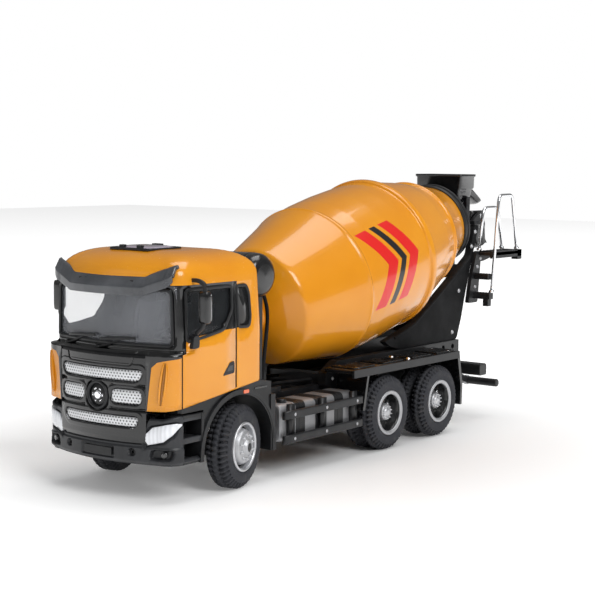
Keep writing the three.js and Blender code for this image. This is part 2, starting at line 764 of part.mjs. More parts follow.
function airTank() {
  const { y, z, r, half } = AIR_TANK;
  const capsule = turned(
    [
      [0, -half],
      [2.6, 0.3 - half],
      [r - 0.8, 1.9 - half],
      [r, 3.9 - half],
      [r, half - 3.9],
      [r - 0.8, half - 1.9],
      [2.6, half - 0.3],
      [0, half],
    ],
    20,
  );
  const post = block([9.6, 12.2], [y - 1.6, y + 1.6], [RAIL_Z[1], z - 3]);
  const posts = SIDES.map(([, side]) => sided(post, side));
  const foot = block([-12.2, 12.2], [y - 2.4, y + 2.4], [RAIL_Z[1], 22.8]);
  return join(capsule.rotate([0, 90, 0]).translate([0, y, z]), ...posts, foot);
}

const GUARD_TOP_Z = 27;

function mudguard() {
  const deck = block([SUB_X[1], BODY_HALF + 0.2], [-13, 48.4], [GUARD_TOP_Z - 1.4, GUARD_TOP_Z]);
  const lip = block([22.8, BODY_HALF + 0.2], [-13, 48.4], [GUARD_TOP_Z - 2.6, GUARD_TOP_Z]);
  const frontDrop = alongX([[-5.4, 26], [-4.2, 26], [-6.8, 14], [-8, 14]], SUB_X[1], BODY_HALF);
  const flapOutline = [[47.2, 26], [48.4, 26.6], [50.6, 15], [50.2, 8.6], [49, 8.6], [49.4, 15]];
  return join(deck, lip, frontDrop, alongX(flapOutline, SUB_X[1], BODY_HALF));
}

// ---------------------------------------------------------------- drum and its supports
function drum() {
  // The inside follows the drum's main stations only.
  const inner = [1, 3, 4, 6, 7, 11, 13].map((i) => [DRUM_OUTLINE[i][1] - DRUM_WALL, DRUM_OUTLINE[i][0]]);
  const outline = [
    [0, JOURNAL_S],
    [JOURNAL_R, JOURNAL_S],
    [JOURNAL_R, BOSS_S],
    [BOSS_R, BOSS_S],
    [BOSS_R, -36.2],
    ...DRUM_OUTLINE.map(([s, r]) => [r, s]),
    ...RING_OUTLINE.map(([s, r]) => [r, s]),
    [MOUTH_R, 72.4],
    [MOUTH_R, 69.2],
    ...inner.reverse(),
    [0, -32.4],
  ];
  return turned(outline, DRUM_ROUND);
}

// Lays a piece made about Z along the drum's axis, with z = 0 at the point above y = 0.
const onDrumAxis = (part) =>
  part.rotate([degrees(DRUM_TILT) - 90, 0, 0]).translate([0, 0, DRUM_Z]);

function frontPedestal() {
  const housing = cut(
    turned([[0, -44.9], [6.4, -44.9], [6.4, -40.6], [5.4, -40], [0, -40]], 24),
    rodZ(JOURNAL_R + RUNNING_GAP, -46, -30, 24),
  );
  const axisY = -Math.cos(DRUM_TILT) * 42.5;
  const footY = [-37.6, -34.4];
  const legOutline = [
    [axisY - 2.4, 39],
    [axisY + 1.6, 39],
    [footY[1], 26],
    [footY[1], RAIL_Z[1]],
    [footY[0], RAIL_Z[1]],
    [footY[0], 30],
  ];
  const leg = alongX(legOutline, 4.6, 7.6);
  const plate = block([-10, 10], [footY[0], -30], [RAIL_Z[1], 23]);
  return join(onDrumAxis(housing), leg, mirrorX(leg), plate);
}

function rearPedestal() {
  // The plates rise to the rear and their upper edge follows the drum's underside.
  const side = [
    [30, SUB_Z[1]],
    [65.5, SUB_Z[1]],
    [70.6, 43],
    [79.4, PEDESTAL_TOP_Z],
    [76.2, PEDESTAL_TOP_Z],
    [73.6, 57],
    [63.4, 50.8],
    [50.9, 43.4],
    [43.6, 39.4],
    [37.6, 35.8],
    [26.4, 32.7],
    [20.5, 31.5],
    [24.4, 29.4],
  ];
  const plates = SIDES.map(([, s]) => sided(alongX(side, 10, 12.5), s));
  const lower = alongX([[60, 30], [66, 30], [68.4, 36], [62.6, 36]], -10.2, 10.2);
  const cradle = alongX([[72.6, 50], [76, 50], [77.6, 53.2], [75.8, 53.6]], -10.2, 10.2);
  const shelf = block([-10.2, 10.2], [72.8, 80.4], [48.6, 50.4]);
  const post = block([-2.2, 2.2], [78.6, 80.4], [48.6, 64]);
  const sleeve = rodZ(2.3, 57.6, 64, 20).translate([0, SWIVEL.y, 0]);
  const bridge = block([-2, 2], [79, SWIVEL.y], [57.6, 64]);
  return cut(
    join(...plates, lower, cradle, shelf, post, sleeve, bridge),
    rodZ(SWIVEL.r + RUNNING_GAP, 50, 70, 20).translate([0, SWIVEL.y, 0]),
  );
}

// ---------------------------------------------------------------- hopper and chute
function hopper() {
  const { half, y, z, wall } = HOPPER;
  const outside = join(
    block([-half, half], y, [80, z[1]]),
    alongX([[y[0], 80.1], [y[1], 80.1], [y[1], 76], [y[0] + 3, z[0]], [y[0], z[0]]], -half + 1.4, half - 1.4),
  );
  const inside = join(
    block([wall - half, half - wall], [y[0] + wall, y[1] - wall], [79, 90]),
    alongX(
      [[y[0] - 2, 80.1], [y[1] - wall, 80.1], [y[1] - wall, 77], [y[0] + 3, 75.6], [y[0] - 2, 75.6]],
      -half + 3,
      half - 3,
    ),
  );
  const trough = cut(
    alongX([[y[1] - 0.4, 80], [89.6, 78.4], [92.6, 74], [88, 73.2], [y[1] - 0.4, 76]], -6.4, 6.4),
    alongX([[y[1] - 2, 84], [95, 84], [95, 76.4], [91.4, 72.6], [y[1] - 2, 77.2]], -5.5, 5.5),
  );
  const legs = SIDES.map(([, s]) =>
    sided(block([half - 2.6, half - 1], [77, 79.4], [PEDESTAL_TOP_Z, 77]), s),
  );
  const feet = SIDES.map(([, s]) =>
    sided(block([half - 2.6, 12.5], [76.4, 79.4], [PEDESTAL_TOP_Z, PEDESTAL_TOP_Z + 1.4]), s),
  );
  return cut(join(outside, trough, ...legs, ...feet), inside);
}

// The swivel post carries a yoke; the chute hangs between its arms.
function chuteSwivel() {
  const pin = rodZ(SWIVEL.r, 56.8, 66, 20).translate([0, SWIVEL.y, 0]);
  const nut = rodZ(2, 56, 57.2, 6).translate([0, SWIVEL.y, 0]);
  const arms = [CHUTE.half + RUNNING_GAP, CHUTE.half + RUNNING_GAP + 1.2];
  const cross = block([-arms[1], arms[1]], [SWIVEL.y - 1.6, SWIVEL.y + 1.6], [64.4, 66.4]);
  const arm = alongX(
    [
      [SWIVEL.y - 1.6, 64.4],
      [SWIVEL.y + 2, 64.4],
      ...arc(CHUTE.pivotY, CHUTE.pivotZ, 1.6, -1.1, Math.PI / 2 + 0.3, 8),
      [SWIVEL.y - 1.6, 66.4],
    ],
    ...arms,
  );
  const hinge = rodX(CHUTE.pinR, CHUTE.half - CHUTE.wall - 0.3, arms[1], CHUTE.pivotY, CHUTE.pivotZ, 16);
  return join(pin, nut, cross, arm, mirrorX(arm), hinge, mirrorX(hinge));
}

function chute() {
  const { half, wall, topZ } = CHUTE;
  const outer = [
    [87.4, topZ],
    [94.2, topZ],
    [96.8, 70],
    [97.2, 62],
    [93.6, 58.2],
    [90, 58.6],
    [87, 65.4],
  ];
  const inner = [
    [88.4, topZ + 2],
    [100, topZ + 2],
    [100, 62.6],
    [93.2, 59.2],
    [92.6, 57],
    [91, 57],
    [90.6, 59.6],
    [88, 65.7],
  ];
  const bore = rodX(CHUTE.pinR + RUNNING_GAP, -10, 10, CHUTE.pivotY, CHUTE.pivotZ, 16);
  return cut(alongX(outer, -half, half), alongX(inner, wall - half, half - wall), bore);
}

// ---------------------------------------------------------------- ladder, platform, handrails
const RUNGS = [
  { z: [41.8, 44.2], reach: 0.8 }, // the lower rung carries the handrail's foot
  { z: [48.6, 50.8], reach: 0 },
];
const LADDER_POST_X = [12.5, 14];
const WIRE_LIFT = 0.15; // a leaning wire's end clears what it stands on
const HANDRAIL_TOP = { inner: 73.3, outer: 77.8 };

function ladder() {
  const outerX = PLATFORM.x[1];
  const deckZ = PLATFORM.z[1];
  const postOutline = [[70.4, 40.4], [76.6, 40.4], [78.6, deckZ], [75.4, deckZ], [72, 48]];
  const post = alongX(postOutline, ...LADDER_POST_X);
  const deck = block(PLATFORM.x, PLATFORM.y, PLATFORM.z);
  const brace = alongX([[77, 54.6], [80, 54.6], [92, 57], [77, 57]], ...LADDER_POST_X);
  const edge = block([outerX - 1.2, outerX], PLATFORM.y, [PLATFORM.z[0] - 1, deckZ]);
  const corner = block([outerX - 2.4, outerX], [REAR_Y - 3, REAR_Y], [54.8, deckZ]);
  const rungs = RUNGS.map(({ z, reach }) =>
    block([LADDER_POST_X[0] + 0.5, outerX + reach], [73.6, 76.4], z),
  );
  const foot = block([outerX - 2, outerX + 0.2], [73.8, 76.2], [39.4, 42]);
  return join(post, deck, brace, edge, corner, ...rungs, foot);
}

function innerHandrail() {
  const x = PLATFORM.x[0] + 0.8;
  const z = PLATFORM.z[1] + WIRE_LIFT;
  const top = HANDRAIL_TOP.inner;
  return wire([[x, 78.2, z], [x, 80.8, top], [x, 90.8, top], [x, 94, z]], WIRE_R, 14);
}

// The outer rail starts on the lowest rung and ends on the platform's rear corner.
function outerHandrail() {
  const x = PLATFORM.x[1] + 0.1;
  const top = HANDRAIL_TOP.outer;
  return wire(
    [
      [x + 0.6, 75.2, RUNGS[0].z[1] + WIRE_LIFT],
      [x + 0.6, 79.2, top],
      [x - 1.2, 91.6, top],
      [x - 1.2, 95.6, PLATFORM.z[1] + WIRE_LIFT],
    ],
    WIRE_R,
    16,
  );
}

// ---------------------------------------------------------------- tail
const TAIL = { half: 20.2, y: [RAIL_Y[1], 73], z: [15.8, 19.8] };

function tailStep() {
  const { half, y, z } = TAIL;
  const beam = block([-half, half], y, z);
  const lamp = block([half - 7, half - 0.8], [y[1] - 0.05, y[1] + 0.9], [z[0] + 0.6, z[1] - 0.8]);
  return join(beam, lamp, mirrorX(lamp));
}

function underrunBar() {
  const barY = 80.4;
  const bar = rodX(1.35, -20.4, 20.4, barY, 12, 16);
  const front = RAIL_Y[1] + 0.3;
  const bracket = alongX([[front, 12.6], [front, 15.7], [TAIL.y[1], 15.7], [barY, 13], [barY, 11]], 7, 9);
  return join(bar, bracket, mirrorX(bracket));
}

// ---------------------------------------------------------------- assembly
add("chassis_frame", chassisFrame(), DARK);
add("subframe", subframe(), DARK);
add("front_axle_beam", frontBeam(), DARK);
add("tie_rod", tieRod(), DARK);

const wheelX = WHEEL_FACE_X - FRONT_TYRE_W / 2;
for (const [side, s] of SIDES) {
  const turn = (part) => steered(sided(part, s), s);
  add("knuckle_" + side, turn(knuckle()), DARK);
  add("front_rim_" + side, turn(acrossTruck(frontRim(), wheelX, FRONT_AXLE_Y)), SILVER);
  add("front_tyre_" + side, turn(acrossTruck(frontTyre(), wheelX, FRONT_AXLE_Y)), RUBBER);
}

const dualX = WHEEL_FACE_X - DUAL_TYRE_W / 2;
REAR_AXLE_Y.forEach((y, i) => {
  const number = i + 1;
  add("rear_axle_" + number, rearAxle(y), SILVER);
  for (const [side, s] of SIDES) {
    add(`rear_rim_${number}_${side}`, sided(acrossTruck(rearRim(), dualX, y), s), SILVER);
    add(`rear_tyre_${number}_${side}`, sided(acrossTruck(dualTyre(), dualX, y), s), RUBBER);
  }
});

add("cab_shell", cabShell(), PAINT);
add("cab_base", cabBase(), DARK);
add("seats", seats(), SEAT);
add("steering_wheel", steeringWheel(), DARK);
add("windscreen", windscreen(), CLEAR);
add("front_panel", frontPanel(), GLOSS_BLACK);
for (const entry of STRIPS) add(entry.name, strip(entry), CHROME);
add("badge", badge(), CHROME);
add("bumper", bumper(), DARK);
add("visor", visor(), DARK);
add("roof_hatch", roofHatch(), DARK);
add("wiper_left", wiper(-2.6), DARK);
add("wiper_right", wiper(-16.2), DARK);
for (const [side, s] of SIDES) {
  add("headlamp_" + side, sided(headlamp(), s), LAMP);
  add("side_glass_" + side, sided(sideGlass(), s), CLEAR);
  add("mirror_" + side, sided(mirror(), s), GLOSS_BLACK);
  add("side_guard_" + side, sided(sideGuard(), s), DARK);
  add("mudguard_" + side, sided(mudguard(), s), DARK);
}
add("fuel_tank", fuelTank(), SILVER);
add("battery_box", batteryBox(), DARK);
add("air_tank", airTank(), GLOSS_BLACK);

add("drum", onDrumAxis(drum()), PAINT);
add("front_pedestal", frontPedestal(), DARK);
add("rear_pedestal", rearPedestal(), DARK);
add("hopper", hopper(), DARK);
add("chute_swivel", chuteSwivel(), DARK);
add("chute", chute(), DARK);
add("ladder", ladder(), DARK);
add("handrail_inner", innerHandrail(), CHROME);
add("handrail_outer", outerHandrail(), CHROME);
add("tail_step", tailStep(), DARK);
add("underrun_bar", underrunBar(), DARK);

export default truck;
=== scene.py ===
"""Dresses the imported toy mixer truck: detailed pieces and finishes over the fixed frame."""

import math

import bmesh
import bpy
import numpy as np
from mathutils import Matrix


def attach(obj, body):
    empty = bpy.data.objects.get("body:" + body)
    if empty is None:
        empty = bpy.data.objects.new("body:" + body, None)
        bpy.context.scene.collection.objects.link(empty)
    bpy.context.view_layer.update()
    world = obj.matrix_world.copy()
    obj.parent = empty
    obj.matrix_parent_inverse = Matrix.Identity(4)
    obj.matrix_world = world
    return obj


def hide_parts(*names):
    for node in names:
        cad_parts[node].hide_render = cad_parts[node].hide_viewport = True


bl_info = {
    "name": "Toy Mixer Truck",
    "version": (1, 0, 0),
    "blender": (4, 5, 0),
    "location": "View3D > Sidebar > Mixer Truck",
    "description": "Adds the detailed pieces and finishes of a toy mixer truck",
    "category": "Add Mesh",
}

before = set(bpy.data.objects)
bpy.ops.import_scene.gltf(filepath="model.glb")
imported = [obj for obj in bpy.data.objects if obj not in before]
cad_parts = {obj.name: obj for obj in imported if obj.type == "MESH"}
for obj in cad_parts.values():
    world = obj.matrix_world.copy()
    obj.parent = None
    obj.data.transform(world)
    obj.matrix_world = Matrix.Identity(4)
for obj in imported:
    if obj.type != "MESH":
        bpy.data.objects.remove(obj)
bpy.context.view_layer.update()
MM = 0.001  # shapes are worked out in millimetres
SHARP = math.radians(38)  # edges that turn by more than this are bevelled
WORLD_LIGHT = 0.2  # strength of the sky on the object; the backdrop itself stays white

# ------------------------------------------------------------------ layout, in millimetres
FRONT_Y = -97.5  # foremost line of the bumper
FRONT_CROWN = 0.0096  # bow of the front per millimetre squared
CORNER_X = 18.6  # where the bow ends and the corner begins
CORNER_Y = -88.4  # where the corner ends and the side begins
BODY_HALF = 24.0
CAB_REAR_Y = -57.5
SCREEN_SET = 3.2  # the cab above the hood line stands this far back
HOOD_Z = 39.4
ROOF_Z = 65.6
PANEL_HALF = 15.45
FRONT_AXLE_Y = -67.0
REAR_AXLE_Y = (6.9, 36.2)
WHEEL_FACE_X = 24.3
KINGPIN_X = 12.6
STEER_REST = math.radians(12)
DRUM_TILT = math.radians(12.66)
DRUM_Z = 52.0
TYRE_R = 11.6
FRONT_EDGE_Y = FRONT_Y + FRONT_CROWN * CORNER_X**2  # the front skin where the corner begins


# ------------------------------------------------------------------ shapes: (points, quads, caps)
def grid(points, wrap=(False, False), keep=None):
    """A surface through points[i, j]: four neighbours make one face, and wrap joins an end to its start."""
    rows, columns = points.shape[:2]
    ids = np.arange(rows * columns).reshape(rows, columns)
    if wrap[0]:
        ids = np.vstack([ids, ids[:1]])
    if wrap[1]:
        ids = np.hstack([ids, ids[:, :1]])
    quads = np.stack([ids[:-1, :-1], ids[1:, :-1], ids[1:, 1:], ids[:-1, 1:]], -1)
    if keep is not None:
        quads = quads[keep]
    return points.reshape(-1, 3).astype(float), quads.reshape(-1, 4), []


def turned(profile, segments=64, closed=False, dent=None):
    """A [radius, height] line turned about Z. dent(angle, index) is taken off the radius."""
    line = np.asarray(profile, float)
    angle = np.linspace(0, 2 * np.pi, segments, endpoint=False)[:, None]
    radius = np.repeat(line[None, :, 0], segments, 0)
    if dent is not None:
        radius = radius - dent(angle, np.arange(len(line))[None, :])
    height = np.repeat(line[None, :, 1], segments, 0)
    points = np.stack([radius * np.cos(angle), radius * np.sin(angle), height], -1)
    return grid(points, (True, closed))


def prism(outline, low, high):
    """A closed outline carried straight up Z from low to high, with a flat face on each end."""
    line = np.asarray(outline, float)
    ends = np.stack([np.column_stack([line, np.full(len(line), h)]) for h in (low, high)])
    points, quads, _ = grid(ends, (False, True))
    count = len(line)
    return points, quads, [np.arange(count), np.arange(count, 2 * count)]


def along_x(shape):
    """The shape's own (a, b, h) becomes (h, a, b): an outline in y and z is carried across the truck."""
    return shape[0][:, [2, 0, 1]], shape[1], shape[2]


def along_y(shape):
    """The shape's own (a, b, h) becomes (a, h, b): an outline in x and z is carried along the truck."""
    return shape[0][:, [0, 2, 1]], shape[1], shape[2]


def block(x, y, z):
    """A box between two corners: a rectangle carried up Z."""
    return prism([(x[0], y[0]), (x[1], y[0]), (x[1], y[1]), (x[0], y[1])], *z)


def rounded(outline, radius, steps=4, closed=True):
    """Each corner becomes a quadratic curve between points radius along its two edges."""
    line = np.asarray(outline, float)
    before = np.roll(line, 1, 0) - line
    after = np.roll(line, -1, 0) - line
    reach = np.broadcast_to(np.asarray(radius, float), (len(line),))[:, None]
    gap_a = np.linalg.norm(before, axis=1, keepdims=True)
    gap_b = np.linalg.norm(after, axis=1, keepdims=True)
    start = line + before / gap_a * np.minimum(reach, gap_a * 0.45)
    end = line + after / gap_b * np.minimum(reach, gap_b * 0.45)
    t = np.linspace(0, 1, steps + 1)[None, :, None]
    bent = (1 - t) ** 2 * start[:, None] + 2 * t * (1 - t) * line[:, None] + t**2 * end[:, None]
    if not closed:
        bent[0] = line[0]
        bent[-1] = line[-1]
    return bent.reshape(-1, line.shape[1])


def oblong(x, y, radius, steps):
    """A rectangle between two values of x and two of y, its corners rounded."""
    return rounded([[x[0], y[0]], [x[1], y[0]], [x[1], y[1]], [x[0], y[1]]], radius, steps)


def circle(radius, count):
    """Points at equal angles round a circle."""
    angle = np.linspace(0, 2 * np.pi, count, endpoint=False)
    return np.column_stack([radius * np.cos(angle), radius * np.sin(angle)])


def swept(section, path, closed=False, up=(0, 0, 1), scale=None):
    """A closed section carried along a path: its first axis is square to path and up, its second to both."""
    line = np.asarray(path, float)
    if closed:
        ahead = np.roll(line, -1, 0) - np.roll(line, 1, 0)
    else:
        ahead = np.gradient(line, axis=0)
    ahead /= np.linalg.norm(ahead, axis=1, keepdims=True) + 1e-12
    across = np.cross(np.broadcast_to(np.asarray(up, float), ahead.shape), ahead)
    across /= np.linalg.norm(across, axis=1, keepdims=True) + 1e-12
    over = np.cross(ahead, across)
    flat = np.asarray(section, float)
    size = np.ones(len(line)) if scale is None else np.asarray(scale, float)
    offset = flat[None, :, 0, None] * across[:, None] + flat[None, :, 1, None] * over[:, None]
    points = line[:, None] + offset * size[:, None, None]
    verts, quads, _ = grid(points, (closed, True))
    count = len(flat)
    last = (len(line) - 1) * count
    caps = [] if closed else [np.arange(count), np.arange(last, last + count)]
    return verts, quads, caps


def turn(axis, angle):
    """The 3 by 3 matrix of a turn about x, y or z."""
    return np.array(Matrix.Rotation(angle, 3, axis.upper()))


OUTWARD = turn("y", math.pi / 2)  # lays a shape made about Z across the truck
FORWARD = turn("x", math.pi / 2)  # lays it along the truck, its top to the front
REARWARD = turn("x", -math.pi / 2)


def moved(shape, at=(0, 0, 0), by=None):
    """The shape turned by a matrix, then shifted."""
    points = shape[0] if by is None else shape[0] @ by.T
    return points + np.asarray(at, float), shape[1], shape[2]


def mirrored(shape):
    """The shape reflected in the truck's middle plane."""
    return shape[0] * np.array([-1.0, 1.0, 1.0]), shape[1], shape[2]


def copies(shape, places, turns=None):
    """One copy of the shape at each place, each with its own turn."""
    spots = np.asarray(places, float)
    spun = np.eye(3)[None].repeat(len(spots), 0) if turns is None else np.asarray(turns)
    points = np.einsum("kij,nj->kni", spun, shape[0]) + spots[:, None]
    step = len(shape[0]) * np.arange(len(spots))
    quads = (shape[1][None] + step[:, None, None]).reshape(-1, 4)
    caps = [cap + s for s in step for cap in shape[2]]
    return points.reshape(-1, 3), quads, caps


def ring_of(shape, count, start=0.0):
    """Copies of a shape turned to equal angles round Z."""
    angles = start + np.arange(count) * 2 * np.pi / count
    return copies(shape, np.zeros((count, 3)), [turn("z", a) for a in angles])


def both(shape):
    """The shape and its reflection."""
    return [shape, mirrored(shape)]


def soften(obj, width):
    """A two-step bevel, width millimetres wide, on the sharp edges only."""
    edges = obj.modifiers.new("edges", "BEVEL")
    edges.width = width * MM
    edges.segments = 2
    edges.limit_method = "ANGLE"
    edges.angle_limit = SHARP
    edges.harden_normals = True


def pair(shape, look):
    """The shape and its reflection, both in one finish."""
    return [(shape, look), (mirrored(shape), look)]


def sides(parts):
    """The parts under the name left, and their reflection under the name right."""
    return ("left", parts), ("right", [(mirrored(shape), look) for shape, look in parts])


def finish(name, body, parts, bevel=0.0, wall=0.0, replaces=()):
    """Joins (shape, material) parts into one object that rides on a body, its seams merged."""
    points, faces, slots, start, names = [], [], [], 0, []
    for shape, material in parts:
        if material not in names:
            names.append(material)
        points.append(shape[0])
        made = (shape[1] + start).tolist() + [(cap + start).tolist() for cap in shape[2]]
        faces += made
        slots += [names.index(material)] * len(made)
        start += len(shape[0])
    mesh = bpy.data.meshes.new(name)
    mesh.from_pydata((np.vstack(points) * MM).tolist(), [], faces)
    for material in names:
        mesh.materials.append(finish_of(material))
    mesh.polygons.foreach_set("material_index", np.array(slots, np.int32))
    mesh.polygons.foreach_set("use_smooth", np.ones(len(faces), bool))
    shell = bmesh.new()
    shell.from_mesh(mesh)
    bmesh.ops.remove_doubles(shell, verts=shell.verts, dist=2e-7)
    bmesh.ops.dissolve_degenerate(shell, edges=shell.edges, dist=1e-7)
    bmesh.ops.recalc_face_normals(shell, faces=shell.faces)
    shell.to_mesh(mesh)
    shell.free()
    obj = bpy.data.objects.new(name, mesh)
    bpy.context.scene.collection.objects.link(obj)
    if wall:
        solid = obj.modifiers.new("wall", "SOLIDIFY")
        solid.thickness = wall * MM
        solid.offset = -1
        solid.use_even_offset = True
    if bevel:
        soften(obj, bevel)
    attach(obj, body)
    if replaces:
        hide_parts(*replaces)
    return obj


# ------------------------------------------------------------------ shader arithmetic
class Value:
    """A node socket that takes part in plain arithmetic."""

    def __init__(self, tree, socket):
        self.tree = tree
        self.socket = socket

    def math(self, operation, *terms, clamp=False):
        node = self.tree.nodes.new("ShaderNodeMath")
        node.operation = operation
        node.use_clamp = clamp
        for socket, term in zip(node.inputs, terms):
            plug(self.tree, socket, term)
        return Value(self.tree, node.outputs[0])

    def __add__(self, other):
        return self.math("ADD", self, other)

    __radd__ = __add__

    def __mul__(self, other):
        return self.math("MULTIPLY", self, other)

    __rmul__ = __mul__

    def __sub__(self, other):
        return self.math("SUBTRACT", self, other)

    def __rsub__(self, other):
        return self.math("SUBTRACT", other, self)

    def __truediv__(self, other):
        return self.math("DIVIDE", self, other)

    def __pow__(self, other):
        return self.math("POWER", self, other)

    def abs(self):
        return self.math("ABSOLUTE", self)

    def low(self, other):
        return self.math("MINIMUM", self, other)

    def high(self, other):
        return self.math("MAXIMUM", self, other)

    def part(self):
        """What is left after the whole number is taken off."""
        return self.math("FRACT", self)

    def sine(self):
        return self.math("SINE", self)

    def between(self, start, end):
        """0 below start, 1 above end, and an even rise between: it falls where start is the larger."""
        return self.math("MULTIPLY_ADD", self, 1 / (end - start), -start / (end - start), clamp=True)


def plug(tree, socket, term):
    """Links a Value to a socket, or sets the socket to a number or colour."""
    if isinstance(term, Value):
        tree.links.new(term.socket, socket)
    else:
        socket.default_value = term


class Finish:
    """One material: its nodes end in a Principled shader whose fixed numbers sit on its own sockets."""

    def __init__(self, name, **fixed):
        self.material = bpy.data.materials.new(name)
        self.material.use_nodes = True
        self.tree = self.material.node_tree
        self.shader = self.tree.nodes["Principled BSDF"]
        self.fixed(**fixed)
        self.place = Value(self.tree, self.tree.nodes.new("ShaderNodeTexCoord").outputs["Object"])

    def fixed(self, **numbers):
        for key, number in numbers.items():
            self.shader.inputs[key.replace("_", " ")].default_value = number

    def feed(self, **terms):
        for key, term in terms.items():
            plug(self.tree, self.shader.inputs[key.replace("_", " ")], term)

    def node(self, kind, settings=(), output=0, **terms):
        """Any other node: its settings are set first, then its sockets are filled or linked."""
        node = self.tree.nodes.new(kind)
        for key, setting in dict(settings).items():
            setattr(node, key, setting)
        for key, term in terms.items():
            plug(self.tree, node.inputs[key.replace("_", " ")], term)
        return Value(self.tree, node.outputs[output])

    def axes(self):
        """The x, y and z of a point, in millimetres."""
        split = self.node("ShaderNodeSeparateXYZ", Vector=self.place)
        outputs = split.socket.node.outputs
        return [Value(self.tree, outputs[i]) * (1 / MM) for i in range(3)]

    def noise(self, size, detail=2.0, rough=0.5, stretch=(1, 1, 1)):
        """Soft noise from 0 to 1 whose lumps are about size millimetres across."""
        where = self.node("ShaderNodeMapping", Vector=self.place, Scale=stretch)
        return self.node(
            "ShaderNodeTexNoise", Vector=where, Scale=1 / (size * MM), Detail=detail, Roughness=rough
        )

    def mix(self, factor, first, second):
        """The first colour where factor is 0, the second where it is 1."""
        node = self.tree.nodes.new("ShaderNodeMix")
        node.data_type = "RGBA"
        plug(self.tree, node.inputs["Factor"], factor)
        plug(self.tree, node.inputs[6], first if isinstance(first, Value) else colour(first))
        plug(self.tree, node.inputs[7], second if isinstance(second, Value) else colour(second))
        return Value(self.tree, node.outputs[2])

    def bump(self, height, depth, strength=1.0):
        """A normal from a height of 0 to 1 that stands depth millimetres tall."""
        normal = self.node("ShaderNodeBump", Height=height, Distance=depth * MM, Strength=strength)
        self.feed(Normal=normal)

    def upward(self):
        """1 on faces that look up, 0 on upright ones."""
        normal = self.node("ShaderNodeNewGeometry", output=1)
        split = self.node("ShaderNodeSeparateXYZ", Vector=normal)
        return Value(self.tree, split.socket.node.outputs[2]).between(0.2, 1.0)


def colour(term):
    """A colour socket's four numbers from three."""
    return (*term[:3], 1.0)


def linear(text):
    """A screen colour written as six hex digits, in linear light."""
    shares = [int(text[i : i + 2], 16) / 255 for i in (0, 2, 4)]
    return tuple(s / 12.92 if s <= 0.04045 else ((s + 0.055) / 1.055) ** 2.4 for s in shares)


# ------------------------------------------------------------------ user settings
class MixerColours(bpy.types.PropertyGroup):
    """The colours that a user would change."""

    paint: bpy.props.FloatVectorProperty(
        name="Paint", description="Enamel on the cab and the drum", subtype="COLOR", size=3,
        default=linear("E4961A")
    )
    plastic: bpy.props.FloatVectorProperty(
        name="Black plastic", description="Moulded chassis and trim", subtype="COLOR", size=3,
        default=linear("17181A")
    )
    silver: bpy.props.FloatVectorProperty(
        name="Silver", description="Sprayed rims and tank", subtype="COLOR", size=3, default=linear("C2C3C6")
    )
    rubber: bpy.props.FloatVectorProperty(
        name="Rubber", description="Tyres", subtype="COLOR", size=3, default=linear("303136")
    )
    graphic: bpy.props.FloatVectorProperty(
        name="Graphic", description="Printed chevrons on the drum", subtype="COLOR", size=3,
        default=linear("DB1E1A")
    )


class MixerSizes(bpy.types.PropertyGroup):
    """The sizes that a user would change, none of which alters the frame."""

    tread_depth: bpy.props.FloatProperty(
        name="Tread depth", description="Depth of the tyres' grooves", unit="LENGTH", default=0.00095,
        min=0.0001, max=0.001
    )
    edge_radius: bpy.props.FloatProperty(
        name="Edge radius", description="Rounding of moulded edges", unit="LENGTH", default=0.00022,
        min=0.00005, max=0.0005
    )
    seam_depth: bpy.props.FloatProperty(
        name="Seam depth", description="Depth of the door seams", unit="LENGTH", default=0.00045, min=0.0001,
        max=0.0008
    )
    lugs: bpy.props.IntProperty(
        name="Tread lugs", description="Shoulder blocks round one tyre", default=46, min=12, max=60
    )


# ------------------------------------------------------------------ finishes
SPECK = (0.75, 0.6, 0.4)  # a dust speck under the clear coat


def deepened(tone):
    """The warmer, darker shade that enamel drifts to."""
    return tuple(c * k for c, k in zip(tone, (0.93, 0.86, 0.7)))


def enamel(name, base=None):
    """Glossy enamel: slow drift of shade, fine orange peel, a few dust specks and a clear coat."""
    look = Finish(name, Coat_Roughness=0.05, Specular_IOR_Level=0.35)
    tone = base or tuple(bpy.context.scene.mixer_colours.paint)
    drift = look.noise(22, 3)
    peel = look.noise(0.7, 2)
    specks = look.noise(0.5, 1).between(0.74, 0.8)
    shade = look.mix(drift.between(0.35, 0.7), tone, deepened(tone))
    look.feed(
        Base_Color=look.mix(specks * 0.12, shade, SPECK),
        Roughness=0.2 + 0.1 * look.noise(6) + 0.2 * specks,
        Coat_Weight=0.6 - 0.2 * drift,
    )
    look.bump(peel + 0.3 * drift, 0.012, 0.35)
    return look


